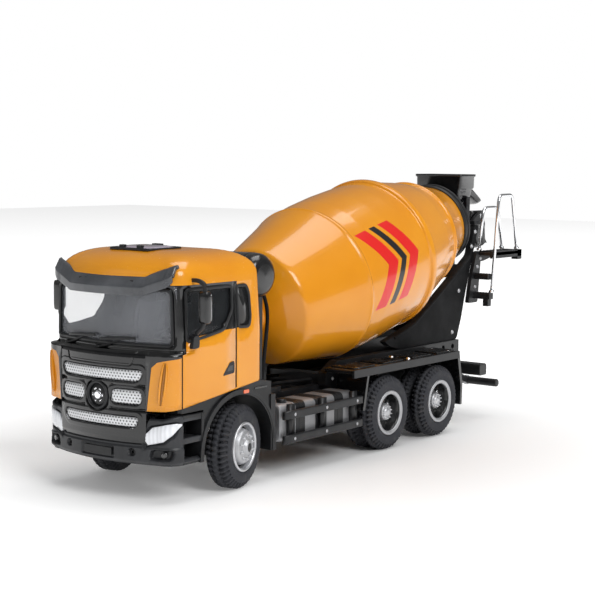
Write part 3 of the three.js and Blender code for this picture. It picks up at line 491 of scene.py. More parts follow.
def drum_paint(name):
    """Enamel with a print of three chevrons, laid out by distance along the drum's axis and round it."""
    look = Finish(name, Coat_Roughness=0.05, Specular_IOR_Level=0.35)
    colours = bpy.context.scene.mixer_colours
    x, y, z = look.axes()
    along = y * math.cos(DRUM_TILT) + (z - DRUM_Z) * math.sin(DRUM_TILT)
    rise = (z - DRUM_Z) * math.cos(DRUM_TILT) - y * math.sin(DRUM_TILT)
    round_it = x.math("ARCTAN2", x.abs(), rise)
    wide = (round_it * 25.0 - 34.5).abs()
    bend = along - 15.5 + 0.62 * wide
    inside = wide.between(13.0, 12.9)
    red = inside * ((bend + 7.0).abs().between(2.7, 2.6)).high((bend - 5.0).abs().between(2.7, 2.6))
    black = inside * (bend + 1.0).abs().between(1.5, 1.4)
    drift = look.noise(24, 3)
    peel = look.noise(0.7, 2)
    specks = look.noise(0.5, 1).between(0.75, 0.8)
    tone = tuple(colours.paint)
    shade = look.mix(drift.between(0.35, 0.7), tone, deepened(tone))
    printed = look.mix(red, shade, tuple(colours.graphic))
    printed = look.mix(black, printed, (0.012, 0.011, 0.012))
    look.feed(
        Base_Color=look.mix(specks * 0.12, printed, SPECK),
        Roughness=0.19 + 0.1 * look.noise(7) + 0.12 * red + 0.12 * black,
        Coat_Weight=0.6 - 0.2 * drift,
    )
    look.bump(peel + 0.3 * drift + 0.8 * red.high(black), 0.012, 0.35)
    return look


def plastic(name, shade=1.0, rough=0.3, grain=0.35, depth=0.012, coat=0.0, gloss=0.4):
    """Moulded black plastic: fine grain, rubbed patches, and dust that gathers on faces that look up."""
    look = Finish(name, Coat_Roughness=0.12, Specular_IOR_Level=gloss)
    tone = tuple(c * shade for c in bpy.context.scene.mixer_colours.plastic)
    cloud = look.noise(9, 4, 0.6)
    fine = look.noise(grain, 3, 0.6)
    dust = look.upward() * look.noise(2.4, 4, 0.65).between(0.5, 0.85)
    pale = tuple(c * 1.7 + 0.012 for c in tone)
    shade_now = look.mix(cloud.between(0.4, 0.8), tone, pale)
    look.feed(
        Base_Color=look.mix(dust * 0.12, shade_now, (0.2, 0.19, 0.18)),
        Roughness=rough + 0.14 * cloud + 0.2 * dust + 0.06 * fine,
        Coat_Weight=coat,
    )
    if depth:
        look.bump(fine + 0.5 * cloud, depth, 0.5)
    return look


def treadplate(name):
    """Black plastic with raised lozenges in two leaning rows."""
    look = plastic(name, 1.2, 0.32, depth=0)
    x, y, _ = look.axes()
    u = ((x + y) * 0.5).part() - 0.5
    v = ((x - y) * 0.5).part() - 0.5
    lozenge = u.abs().between(0.36, 0.24) * v.abs().between(0.2, 0.1)
    cross = v.abs().between(0.36, 0.24) * u.abs().between(0.2, 0.1)
    look.bump(lozenge.high(cross), 0.22, 1.0)
    return look


def silver(name, rough=0.36, metal=0.75, shade=1.0):
    """Sprayed silver: fine metal flake, rubbed patches and grime in the lows."""
    look = Finish(name)
    tone = tuple(c * shade for c in bpy.context.scene.mixer_colours.silver)
    flake = look.noise(0.35, 2)
    cloud = look.noise(4, 4, 0.65)
    grime = cloud.between(0.58, 0.75)
    worn = tuple(c * 0.6 for c in tone)
    look.feed(
        Base_Color=look.mix(grime * 0.6, look.mix(flake, tone, tuple(c * 0.86 for c in tone)), worn),
        Roughness=rough + 0.16 * cloud + 0.08 * flake,
        Metallic=metal - 0.3 * grime,
    )
    look.bump(flake + cloud, 0.02, 0.6)
    return look


def plated(name, rough=0.1):
    """Bright plating with faint haze and fingerprints."""
    look = Finish(name)
    haze = look.noise(3, 4, 0.7)
    look.feed(
        Base_Color=look.mix(haze.between(0.5, 0.8), (0.86, 0.87, 0.89), (0.66, 0.67, 0.7)),
        Roughness=rough + 0.16 * haze,
        Metallic=1.0 - 0.1 * haze.between(0.6, 0.8),
    )
    look.bump(look.noise(0.6, 2), 0.008, 0.4)
    return look


def perforated(name):
    """Pale silver plate with staggered round holes that read dark."""
    look = Finish(name)
    x, _, z = look.axes()
    row = z / 0.78
    line = row - row.part()
    column = x / 0.98 + (line * 0.5).part()
    du = column.part() - 0.5
    dv = row.part() - 0.5
    hole = ((du * du + dv * dv * 0.64) ** 0.5).between(0.25, 0.17)
    cloud = look.noise(3, 3)
    look.feed(
        Base_Color=look.mix(hole, look.mix(cloud, (0.86, 0.87, 0.88), (0.7, 0.71, 0.73)), (0.1, 0.1, 0.11)),
        Roughness=0.28 + 0.15 * cloud + 0.3 * hole,
        Metallic=0.35 - 0.35 * hole,
    )
    look.bump(1 - hole, 0.25, 1.0)
    return look


def rubber(name):
    """Matt rubber: pores, mould rings on the side wall, and pale dust in patches."""
    look = Finish(name, Specular_IOR_Level=0.35)
    tone = tuple(bpy.context.scene.mixer_colours.rubber)
    fine = look.noise(0.4, 3, 0.7)
    cloud = look.noise(3.5, 4, 0.7)
    dust = cloud.between(0.5, 0.78)
    look.feed(
        Base_Color=look.mix(dust * 0.4, tone, (0.11, 0.105, 0.1)),
        Roughness=0.58 + 0.2 * cloud + 0.1 * fine,
    )
    look.bump(fine + cloud, 0.03, 0.7)
    return look


def clear(name, alpha=0.06, tint=(0.1, 0.11, 0.12)):
    """Clear moulded plastic: mostly see-through, a little haze, sharp gloss."""
    look = Finish(name, Coat_Weight=1.0, Coat_Roughness=0.03, IOR=1.49, Specular_IOR_Level=0.7)
    haze = look.noise(7, 4, 0.6)
    look.feed(
        Base_Color=look.mix(haze, tint, tuple(c * 1.25 for c in tint)),
        Roughness=0.05 + 0.12 * haze.between(0.5, 0.8),
        Alpha=alpha + 0.05 * haze,
    )
    look.bump(look.noise(5, 2), 0.01, 0.3)
    return look


def lens(name, tone, pitch=0.9, painted_glow=0.0):
    """Ribbed lamp lens whose faint glow is painted light, standing in for a bright reflector behind it."""
    look = Finish(name, Coat_Weight=1.0, Coat_Roughness=0.04, Emission_Strength=painted_glow)
    x, _, z = look.axes()
    rib = ((x / pitch).part() - 0.5).abs() * 2
    cloud = look.noise(2.5, 3)
    deep = tuple(c * 0.72 for c in tone)
    look.feed(
        Base_Color=look.mix(rib * 0.5 + 0.5 * cloud, tone, deep),
        Roughness=0.14 + 0.12 * cloud,
        Emission_Color=look.mix(rib, tone, deep),
    )
    look.bump(rib + 0.2 * (z / pitch).part(), 0.06, 0.7)
    return look


RECIPES = {
    "paint": enamel,
    # a darker copy of the paint: painted shade on the floor of the corner slots' groove
    "deep_paint": lambda name: enamel(name, tuple(c * 0.45 for c in bpy.context.scene.mixer_colours.paint)),
    "drum_paint": drum_paint,
    "gloss_black": lambda name: plastic(name, 0.45, 0.12, 0.8, 0.006, 0.6),
    "black": lambda name: plastic(name, 0.8, 0.26),
    "trim": lambda name: plastic(name, 1.15, 0.3),
    # the visor's dark grey is lightened part way to the glossy highlight of its upper tier: its own tone plus
    # a painted highlight
    "visor": lambda name: plastic(name, 6.0, 0.2, coat=0.8),
    "bumper": lambda name: plastic(name, 2.3, 0.28),
    "dull": lambda name: plastic(name, 0.5, 0.55, 0.4, 0.03, gloss=0.14),
    "treadplate": treadplate,
    "silver": silver,
    "bright": lambda name: silver(name, 0.26, 0.85, 1.25),
    # a darker copy of the silver for the fuel tank: painted shade
    "tank": lambda name: silver(name, 0.4, 0.8, 0.7),
    "plated": plated,
    "perforated": perforated,
    "rubber": rubber,
    "clear": clear,
    # a pale grey-blue veil on the windscreen: painted reflection of the bright surroundings
    "screen": lambda name: clear(name, 0.14, (0.46, 0.48, 0.53)),
    "smoked": lambda name: clear(name, 0.86, (0.016, 0.016, 0.018)),
    "hatch": lambda name: clear(name, 0.75, (0.5, 0.45, 0.55)),
    # the headlight and amber lenses glow faintly: painted light, as no lamp in them is lit
    "headlight": lambda name: lens(name, (0.86, 0.88, 0.92), 1.1, 0.12),
    "amber": lambda name: lens(name, (0.85, 0.14, 0.03), 0.5, 0.1),
    "red_lens": lambda name: lens(name, (0.5, 0.02, 0.02), 0.5),
    "seat": lambda name: plastic(name, 4.2, 0.55, 0.5, 0.04),
    "mirror_face": lambda name: plated(name, 0.04),
}
MADE = {}


def finish_of(name):
    """The material of that name, made once."""
    if name not in MADE:
        MADE[name] = RECIPES[name](name).material
    return MADE[name]


def edge():
    """The rounding of moulded edges, in millimetres."""
    return bpy.context.scene.mixer_sizes.edge_radius / MM


# ------------------------------------------------------------------ drum
def drum_axis(shape):
    """A shape made about Z laid along the drum's axis, its zero over the truck's origin."""
    return moved(shape, (0, 0, DRUM_Z), turn("x", DRUM_TILT - math.pi / 2))


def rolled_seam(at, radius):
    """Profile points of a low rounded bead that stands on the drum at a place along its axis."""
    bead = [[-0.9, 0.0], [-0.45, 0.32], [0.0, 0.42], [0.45, 0.32], [0.9, 0.0]]
    return [[radius + lift, at + shift] for shift, lift in bead]


class MIXER_OT_drum(bpy.types.Operator):
    """The drum: a turned shell with rolled seams, a raised hoop, a dished front and a black mouth ring"""

    bl_idname = "mixer.drum"
    bl_label = "Drum"

    def execute(self, context):
        skin = [
            [0.01, -38.6], [5.0, -38.6], [7.0, -38.3], [7.5, -37.6], [7.5, -36.9], [7.0, -36.5], [7.0, -36.0],
            [8.6, -35.4], [12.9, -33.0], [16.6, -30.4], [17.6, -29.7], [18.0, -29.1], [18.3, -28.3],
            [20.0, -21.4], [22.1, -13.0],
            *rolled_seam(-4.3, 24.15),
            [24.75, 3.0], [25.0, 13.0], [24.8, 22.0], [24.35, 28.9], [24.5, 29.3], [25.1, 29.7], [25.2, 30.9],
            [25.1, 32.1], [24.3, 32.5], [23.9, 33.0], [22.2, 40.0], [20.2, 48.0],
            *rolled_seam(55.3, 18.3),
            [15.9, 62.0],
            [13.6, 68.6],
            [13.5, 69.1],
        ]
        inner = [
            [12.2, 69.1], [16.9, 54.6], [23.1, 29.4], [23.7, 13.0], [23.1, -4.9], [17.2, -28.4],
            [11.3, -33.4], [0.01, -33.6],
        ]
        ring = [
            [13.3, 69.0], [13.9, 69.1], [14.1, 69.5], [14.1, 70.4], [13.5, 70.6], [13.5, 71.2], [14.1, 71.4],
            [14.1, 72.2], [13.8, 72.4], [9.3, 72.4], [9.0, 72.1], [9.0, 69.4], [9.2, 69.0],
        ]
        dense = rounded(skin, 0.5, 3, closed=False)
        shell = turned(np.vstack([dense, inner]), 160)
        boss = turned(rounded([[0.01, -39.4], [4.4, -39.4], [4.4, -38.5], [0.01, -38.5]], 0.3, 3, False), 48)
        journal = turned([[0.01, -44.4], [2.0, -44.4], [2.2, -44.2], [2.2, -39.3], [0.01, -39.3]], 32)
        bolt = turned([[0.01, 0.5], [0.5, 0.5], [0.62, 0.35], [0.62, 0.0]], 6)
        bolts = ring_of(moved(bolt, (5.7, 0, -38.55), turn("x", math.pi)), 8)
        parts = [(drum_axis(shell), "drum_paint"), (drum_axis(boss), "black"), (drum_axis(journal), "silver")]
        parts += [
            (drum_axis(bolts), "silver"), (drum_axis(turned(rounded(ring, 0.25, 3), 96, True)), "black")
        ]
        finish("drum_shell", "drum", parts, replaces=["drum"])
        return {"FINISHED"}


# ------------------------------------------------------------------ wheels
def tyre(half):
    """A tyre about Z: a round-shouldered section turned round, with slanted lugs and zigzag grooves in it."""
    sizes = bpy.context.scene.mixer_sizes
    depth = sizes.tread_depth / MM
    outer = [
        [7.0, -half + 0.35], [7.6, -half + 0.05], [8.6, -half], [9.7, -half + 0.12], [10.5, -half + 0.5],
        [11.15, -half + 0.95], [11.48, -half + 1.35], [11.6, -half + 1.9], [11.6, -half * 0.42],
        [11.6, -half * 0.34], [11.6, -half * 0.26],
    ]
    line = np.array(outer + [[r, -h] for r, h in reversed(outer)])
    line = rounded(line, 0.35, 2, closed=False)
    radius, height = line[:, 0], line[:, 1]
    outwards = np.clip((np.abs(height) - half * 0.16) / (half * 0.06), 0, 1)
    shoulder = outwards * np.clip((radius - 9.9) / 0.8, 0, 1)
    zigzag = (np.abs(np.abs(height) - half * 0.34) < half * 0.07) & (radius > 11)

    def dent(angle, index):
        """Lugs stand between slanted cuts: a square wave of angle, half a lug further on the other side."""
        phase = angle * sizes.lugs / (2 * np.pi) + 0.5 * (height[index] > 0) + 0.12 * np.abs(height[index])
        wave = np.sin(2 * np.pi * phase)
        cut = np.clip(wave * 6 + 1.4, 0, 1)
        return depth * cut * shoulder[index] + depth * 0.7 * zigzag[index]

    return turned(line, 420, dent=dent)


def on_axle(shape, x, y):
    """A wheel made about Z laid across the truck, its outer side towards +X."""
    return moved(shape, (x, y, TYRE_R), OUTWARD)


def steered(shape, side):
    """A piece turned about its own kingpin by the resting angle."""
    pivot = np.array([side * KINGPIN_X, FRONT_AXLE_Y, 0])
    return moved(moved(shape, -pivot), pivot, turn("z", STEER_REST))


def nuts(count, radius, height, size=0.42):
    """Six-sided nuts, each with a round stud, on a circle."""
    nut = turned(
        [
            [0.01, 0.75], [size * 0.5, 0.75], [size * 0.55, 0.4], [size, 0.4], [size * 1.1, 0.25],
            [size * 1.1, 0]
        ],
        6
    )
    return ring_of(moved(nut, (radius, 0, height)), count)


class MIXER_OT_front_wheels(bpy.types.Operator):
    """Front wheels: treaded tyres on silver rims with a bulging hub disc"""

    bl_idname = "mixer.front_wheels"
    bl_label = "Front wheels"

    def execute(self, context):
        half = 3.5
        middle = WHEEL_FACE_X - half
        lip = rounded(
            [
                [6.9, -2.9], [6.9, 3.3], [6.75, 3.62], [6.35, 3.7], [6.05, 3.45], [5.75, 1.9], [5.5, 1.7],
                [5.5, -2.9]
            ],
            0.15, 3
        )
        disc = rounded(
            [
                [5.5, -2.0], [5.5, 1.5], [5.15, 1.9], [4.75, 3.0], [4.3, 3.75], [3.3, 4.05], [2.35, 4.1],
                [2.1, 4.5], [1.7, 5.05], [1.25, 5.1], [1.25, -2.0]
            ],
            0.25,
            3,
        )
        cap = turned(rounded([[0.01, 5.0], [0.9, 5.0], [1.2, 4.7], [1.22, 3.9]], 0.2, 3, False), 32)
        slots = turned(rounded([[5.6, 1.6], [5.6, 1.95], [5.2, 2.1], [5.1, 1.7]], 0.1, 2), 64, True)
        for name, side in (("left", 1), ("right", -1)):
            parts = [
                (turned(lip, 96, True), "bright"),
                (turned(disc, 96, True), "silver"),
                (nuts(10, 3.35, 3.95), "bright"),
                (cap, "trim"),
                (slots, "dull"),
            ]
            set_of = [(self.put(shape, middle, side), look) for shape, look in parts]
            finish(
                "front_rim_" + name + "_detail", "front_wheel_" + name, set_of, replaces=["front_rim_" + name]
            )
            made = self.put(tyre(half), middle, side)
            finish(
                "front_tyre_" + name + "_tread", "front_wheel_" + name, [(made, "rubber")],
                replaces=["front_tyre_" + name]
            )
        return {"FINISHED"}

    @staticmethod
    def put(shape, middle, side):
        """A wheel's shape on the front axle, turned with the steering, on the side of side's sign."""
        laid = on_axle(shape, middle, FRONT_AXLE_Y)
        return steered(laid if side > 0 else mirrored(laid), side)


class MIXER_OT_rear_wheels(bpy.types.Operator):
    """Rear wheels: paired treaded tyres on deep dark dishes with a silver lip and hub"""

    bl_idname = "mixer.rear_wheels"
    bl_label = "Rear wheels"

    def execute(self, context):
        half = 2.52
        out = 5.5  # half the width over both tyres
        lip = rounded(
            [
                [6.95, -5.2], [6.95, 5.3], [6.8, 5.5], [6.25, 5.5], [5.75, 5.25], [5.7, 4.9], [6.2, 4.7],
                [6.2, -5.2]
            ],
            0.15, 3
        )
        dish = rounded(
            [
                [6.25, 4.8], [5.75, 4.7], [5.3, 3.4], [4.6, 1.9], [2.4, 1.5], [2.4, 0.9], [5.0, 0.9],
                [6.25, 2.5]
            ],
            0.3, 3
        )
        hub = rounded(
            [[1.35, 1.0], [2.7, 1.0], [2.7, 3.2], [2.5, 3.9], [2.15, 4.15], [1.5, 4.25], [1.35, 4.25]],
            0.2,
            3,
        )
        cap = turned(
            rounded([[0.01, 4.6], [0.75, 4.6], [1.0, 4.45], [1.38, 4.2], [1.38, 3.8]], 0.15, 3, False), 32
        )
        slot_piece = moved(prism(oblong((-1.0, 1.0), (-0.32, 0.32), 0.25, 3), 0, 0.7), (0, 3.75, 1.75))
        parts = [
            (turned(lip, 96, True), "silver"),
            (turned(dish, 96, True), "gloss_black"),
            (turned(hub, 64, True), "silver"),
            (cap, "bright"),
            (nuts(10, 1.95, 4.05, 0.24), "bright"),
            (ring_of(slot_piece, 2, 0.5), "plated"),
            (nuts(8, 4.2, 1.75, 0.3), "black"),
        ]
        for number, y in enumerate(REAR_AXLE_Y, 1):
            body = f"rear_wheels_{number}"
            rims = sides([(on_axle(shape, WHEEL_FACE_X - out, y), look) for shape, look in parts])
            middles = (WHEEL_FACE_X - half, WHEEL_FACE_X - half - (2 * out - 2 * half))
            tyres = sides([(on_axle(tyre(half), x, y), "rubber") for x in middles])
            for (name, rim), (_, twin) in zip(rims, tyres):
                tag = f"{number}_{name}"
                finish(f"rear_rim_{tag}_detail", body, rim, replaces=[f"rear_rim_{tag}"])
                finish(f"rear_tyre_{tag}_tread", body, twin, replaces=[f"rear_tyre_{tag}"])
        return {"FINISHED"}


# ------------------------------------------------------------------ cab
def front_y(x):
    """The front skin at x: a shallow parabola, then a quarter ellipse round the corner."""
    a = np.minimum(np.abs(np.asarray(x, float)), BODY_HALF)
    bow = FRONT_Y + FRONT_CROWN * np.minimum(a, CORNER_X) ** 2
    t = np.clip((a - CORNER_X) / (BODY_HALF - CORNER_X), 0, 1)
    return np.where(a <= CORNER_X, bow, CORNER_Y - (CORNER_Y - FRONT_EDGE_Y) * np.sqrt(1 - t**2))


def corner_plan(angles):
    """Points [x, y] on the corner's quarter ellipse, from the front at angle 0 to the side."""
    across_corner = CORNER_X + (BODY_HALF - CORNER_X) * np.sin(angles)
    return np.column_stack([across_corner, CORNER_Y - (CORNER_Y - FRONT_EDGE_Y) * np.cos(angles)])


def screen_y(x):
    """The front skin above the hood line."""
    return front_y(x) + SCREEN_SET


def side_x(y, z):
    """The half width of the cab: it leans in with height, and is an ellipse round the front corner."""
    lean = np.clip((np.asarray(z, float) - LEAN_START) / LEAN_SPAN, 0, 1.2)
    depth = CORNER_Y - FRONT_EDGE_Y
    t = np.clip((CORNER_Y + SCREEN_SET - np.asarray(y, float)) / depth, 0, 1)
    return CORNER_X + (BODY_HALF - CORNER_X) * np.sqrt(1 - t**2) - lean


# Columns round one half of the cab, front to rear: corner angle below and above the hood line, or x, or y.
CORNER_COLUMNS = [
    (9, 9), (18, 18), (28, 26.4), (42, 37), (58, 48), (71.2, 58.0), (72.9, 58.7), (74.6, 60.5), (82, 74),
    (90, 90)
]
FRONT_COLUMNS = [0, 2.5, 5, 7.5, 10, 12.5, 14.5, 15.5, 17, 18.6]
PILLAR_COLUMN = 15  # the side window's front edge
SEAM_FRONT = 16
WINDOW_REAR = 23
SEAM_REAR = 25
QUARTER = (27, 29)  # the small rear window's columns
GRILLE_COLUMNS = 7  # the front panel stands in for these columns below the hood line
SCREEN_COLUMNS = 12
HOOD_ROW = 5
GLASS_ROWS = (8, 13)  # from the windows' foot to their head
LEAN_START = 44  # the cab leans in above this height
LEAN_SPAN = 13
ROOF_START = 58.5
# Rows of the skin whose height changes round the cab: columns, and their heights, with straight runs between.
SLOPED_ROWS = {
    36.0: ([7, 8, 9, 15, 20], [35.6, 36.0, 37.4, 38.6, 37]),
    41.3: ([0, 12, 15, 23, 24, 27, 29, 31, 38], [41.3, 41.3, 42.4, 44.6, 44.6, 44.8, 44.6, 43, 42]),
    44.0: ([0, 12, 15, 23, 31, 38], [44.0, 44.0, 45.0, 46.4, 46.2, 45]),
}


def cab_columns(z, upper):
    """The plan of one half at height z as [x, y], its columns on the windows' edges and the seams."""
    front = [(x, float(front_y(x))) for x in FRONT_COLUMNS]
    angles = np.radians([high if upper else low for low, high in CORNER_COLUMNS])
    window_rear = np.interp(z, [40, 44.6, 47.5, 49.6, 57], [-73.6, -73.4, -71.0, -69.9, -69.4])
    quarter_front = np.interp(z, [44.8, 46, 54.6, 55.9], [-67.2, -67.7, -67.7, -67.2])
    quarter_rear = np.interp(z, [44.8, 46.4, 50, 54.4, 55.9], [-63.4, -62.3, -62.2, -62.5, -63.6])
    side = [
        -84.2, -80.5, -77.0, window_rear, -68.78, -68.5, -68.22, quarter_front, -65.2, quarter_rear, -60.6,
        -59.0
    ]
    shift = SCREEN_SET if upper else 0.0
    plan = [(x, y + shift) for x, y in front] + [(x, y + shift) for x, y in corner_plan(angles)]
    plan += [(BODY_HALF, y) for y in side]
    plan += [
        (23.8, -58.1), (23.2, -57.65), (22.4, CAB_REAR_Y), (15, CAB_REAR_Y), (7.5, CAB_REAR_Y),
        (0, CAB_REAR_Y)
    ]
    return np.array(plan, float)


def cab_rows():
    """Rows of the cab's skin from the sill to the roof: a list of [column, (x, y, z)] arrays for one half."""
    seam = bpy.context.scene.mixer_sizes.seam_depth / MM
    lower = [("sill", 0.0), ("body", 27.0), ("body", 31.0), ("body", 36.0), ("body", 38.9), ("body", HOOD_Z)]
    upper = [39.45, 40.4, 41.3, 44.0, 47.0, 50.0, 53.5, 56.2, 57.3, 58.0, 58.25, ROOF_START]
    rows = []
    for kind, z in lower:
        plan = cab_columns(40.0, False)
        sill = np.interp(plan[:, 1], [-97.5, -90, CAB_REAR_Y], [24.0, 25.4, 29.4])
        height = sill if kind == "sill" else np.maximum(z, sill + 0.4 * (z - 24) / 3)
        if z in SLOPED_ROWS:
            height = np.interp(np.arange(len(plan)), *SLOPED_ROWS[z])
        if z < HOOD_Z:
            plan[8, 0] = 15.8 + 0.11 * (np.mean(height[8]) - 24)
            plan[8, 1] = front_y(plan[8, 0])
        rows.append(np.column_stack([plan, np.broadcast_to(height, len(plan))]))
    for z in upper:
        plan = cab_columns(z, True)
        height = np.full(len(plan), z)
        if z in SLOPED_ROWS:
            height = np.interp(np.arange(len(plan)), *SLOPED_ROWS[z])
        plan[:, 0] *= 1 - np.clip((height - LEAN_START) / LEAN_SPAN, 0, 1.2) / BODY_HALF
        rows.append(np.column_stack([plan, height]))
    base = rows[-1].copy()
    for angle in np.radians([12, 22, 32, 42, 52, 61, 69, 76, 82, 90]):
        fall = 1 - math.cos(angle)
        top = base.copy()
        top[:, 2] = ROOF_START + (ROOF_Z - ROOF_START) * math.sin(angle)
        width = 1 - (11.5 * fall**1.15) / 22.8
        top[:, 0] = base[:, 0] * width
        front_in, rear_in = 13 * fall**1.1, 9.5 * fall**1.1
        span = CAB_REAR_Y - (FRONT_Y + SCREEN_SET)
        share = (base[:, 1] - (FRONT_Y + SCREEN_SET)) / span
        top[:, 1] = base[:, 1] + front_in * (1 - share) - rear_in * share
        rows.append(top)
    last = rows[-1]
    centre_y = (last[0, 1] + last[-1, 1]) / 2
    for share in (0.72, 0.4, 0.0):
        inner = last.copy()
        inner[:, 0] *= share
        inner[:, 1] = centre_y + (last[:, 1] - centre_y) * share
        inner[:, 2] = ROOF_Z
        rows.append(inner)
    skin = np.stack(rows)
    for column, first, final in ((SEAM_FRONT, 0, GLASS_ROWS[0]), (SEAM_REAR, 1, GLASS_ROWS[1] + 1)):
        skin[first:final, column, 0] -= seam
    return skin


class MIXER_OT_cab(bpy.types.Operator):
    """The cab: one skin on a grid whose lines follow the windows, the door seams and the hood line"""

    bl_idname = "mixer.cab"
    bl_label = "Cab"

    def execute(self, context):
        half = cab_rows()
        rows, columns = half.shape[:2]
        other = half[:, ::-1] * np.array([-1.0, 1.0, 1.0])
        skin = np.concatenate([half[:, :-1], other[:, :-1]], axis=1)
        count = skin.shape[1]
        cell = np.arange(count)
        own = np.where(cell < columns - 1, cell, 2 * (columns - 1) - 1 - cell)
        row = np.arange(rows - 1)[:, None]
        own = own[None, :]
        glass = (row >= GLASS_ROWS[0]) & (row < GLASS_ROWS[1])
        front = (own < GRILLE_COLUMNS) & (row < HOOD_ROW)
        screen = (own < SCREEN_COLUMNS) & glass
        window = (own >= PILLAR_COLUMN) & (own < WINDOW_REAR) & glass
        quarter = (own >= QUARTER[0]) & (own < QUARTER[1]) & glass
        keep = ~(front | screen | window | quarter)
        black = (own < PILLAR_COLUMN) & (row >= 3) & (row <= GLASS_ROWS[1])
        black |= (own == GRILLE_COLUMNS) & (row < HOOD_ROW)
        frame_rows = (row >= GLASS_ROWS[0]) & (row <= GLASS_ROWS[1])
        black |= frame_rows & (own >= PILLAR_COLUMN) & (own < QUARTER[0]) & ~window
        seam = ((own == SEAM_REAR) | (own == SEAM_REAR - 1)) & (row >= 1)
        seam = (seam | (own == SEAM_FRONT) | (own == SEAM_FRONT - 1)) & (row < GLASS_ROWS[0])
        yellow = grid(skin, (False, True), keep & ~black & ~seam)
        dark = grid(skin, (False, True), keep & black & ~seam)
        gap = grid(skin, (False, True), keep & seam)
        parts = [(yellow, "paint"), (dark, "gloss_black"), (gap, "dull")]
        shell = finish("cab_skin", "chassis", parts, wall=1.0, replaces=["cab_shell"])
        shell.modifiers["wall"].material_offset = 2
        shell.modifiers["wall"].material_offset_rim = 2
        self.creases()
        self.frames()
        return {"FINISHED"}

    def creases(self):
        """Pressed lines and recesses laid on the skin: the corner panel's slot, its floor in painted shade,
        and the handle's cup.
        """
        t = np.linspace(0, 1, 14)
        z = 37.4 - 11.2 * t
        x = 21.0 - 1.3 * t
        path = np.column_stack([x, front_y(x) - 0.03, z])
        lips = [
            [-0.85, -0.1], [-0.62, 0.3], [-0.4, 0.25], [-0.3, -0.05], [0.3, -0.05], [0.4, 0.25], [0.62, 0.3],
            [0.85, -0.1]
        ]
        size = np.clip(np.sin(np.pi * np.clip(t, 0.02, 0.98)) ** 0.28, 0.2, 1)
        slot = swept(
            1.35 * np.array(lips + [[0.5, -0.3], [-0.5, -0.3]]), path, up=(0.45, -0.9, 0), scale=size
        )
        # the slot's floor: a strip in a darker copy of the paint, painted shade in the groove
        shaded_groove_floor = swept(
            [[-0.46, -0.1], [0.46, -0.1], [0.46, 0.02], [-0.46, 0.02]], path, up=(0.45, -0.9, 0), scale=size
        )
        finish("corner_slots", "chassis", pair(slot, "paint") + pair(shaded_groove_floor, "deep_paint"))
        cup = prism(
            rounded([[-74.2, 32.2], [-69.3, 32.6], [-69.3, 35.9], [-71.2, 35.6]], 0.7, 4), 23.55, 24.12
        )
        grip = prism(
            rounded([[-72.6, 33.2], [-70.0, 33.4], [-70.0, 34.9], [-71.6, 34.7]], 0.4, 3), 24.0, 24.16
        )
        finish(
            "door_handles",
            "chassis",
            pair(along_x(cup), "trim") + pair(along_x(grip), "gloss_black"),
            bevel=0.08,
        )

    def frames(self):
        """Rubber seals swept round each window, and the panes just inside the skin."""
        seal = oblong((-0.42, 0.42), (-0.25, 0.22), 0.15, 2)
        door = rounded(
            [
                [-88.0, 42.6], [-80, 43.7], [-73.6, 44.7], [-70.0, 49.5], [-69.5, 56.1], [-80, 56.1],
                [-87.6, 56.1]
            ],
            1.2, 5
        )
        rear = rounded(
            [[-67.5, 44.9], [-63.0, 44.7], [-62.2, 47], [-62.4, 53.6], [-63.4, 56.0], [-67.5, 56.0]], 1.0, 5
        )
        parts = []
        for line in (door, rear):
            path = np.column_stack([side_x(line[:, 0], line[:, 1]), line])
            parts += pair(swept(seal, path, True, up=(1, 0, 0)), "black")
        screen = rounded(
            [[-20.8, 41.4], [-7, 41.4], [7, 41.4], [20.8, 41.4], [20.3, 56.0], [0, 56.2], [-20.3, 56.0]], 1.6,
            5
        )
        dense = np.concatenate(
            [np.linspace(a, b, 8, endpoint=False) for a, b in zip(screen, np.roll(screen, -1, 0))]
        )
        path = np.column_stack([dense[:, 0], screen_y(dense[:, 0]), dense[:, 1]])
        parts.append((swept(seal, path, True, up=(0, -1, 0)), "black"))
        finish("window_seals", "chassis", parts)
        # the windscreen's pale veil is painted reflection
        self.pane("windscreen_pane", "screen", "windscreen")
        y = np.linspace(-88.6, -69.0, 24)[:, None] + np.zeros((1, 8))
        z = np.linspace(42.0, 56.9, 8)[None, :] + np.zeros((24, 1))
        z = np.maximum(z, 42.0 + (y + 88.6) * 0.12)
        door_pane = grid(np.stack([side_x(y, z) - 0.62, y, z], -1))
        rim = np.column_stack([side_x(rear[:, 0], rear[:, 1]) + 0.05, rear])
        quarter = (rim, np.zeros((0, 4), int), [np.arange(len(rim))])
        for name, shape in zip(("left", "right"), both(door_pane)):
            finish(
                "door_pane_" + name, "chassis", [(shape, "clear")], wall=0.4, replaces=["side_glass_" + name]
            )
        finish("quarter_panes", "chassis", pair(quarter, "gloss_black"), wall=0.4)

    def pane(self, name, look, node):
        """The windscreen: a sheet over x and z whose y follows the cab's skin."""
        x = np.linspace(-21.4, 21.4, 48)[:, None] + np.zeros((1, 10))
        z = np.linspace(40.6, 56.9, 10)[None, :] + np.zeros((48, 1))
        glass = grid(np.stack([x, screen_y(x) + 0.5, z], -1))
        finish(name, "chassis", [(glass, look)], wall=0.5, replaces=[node])


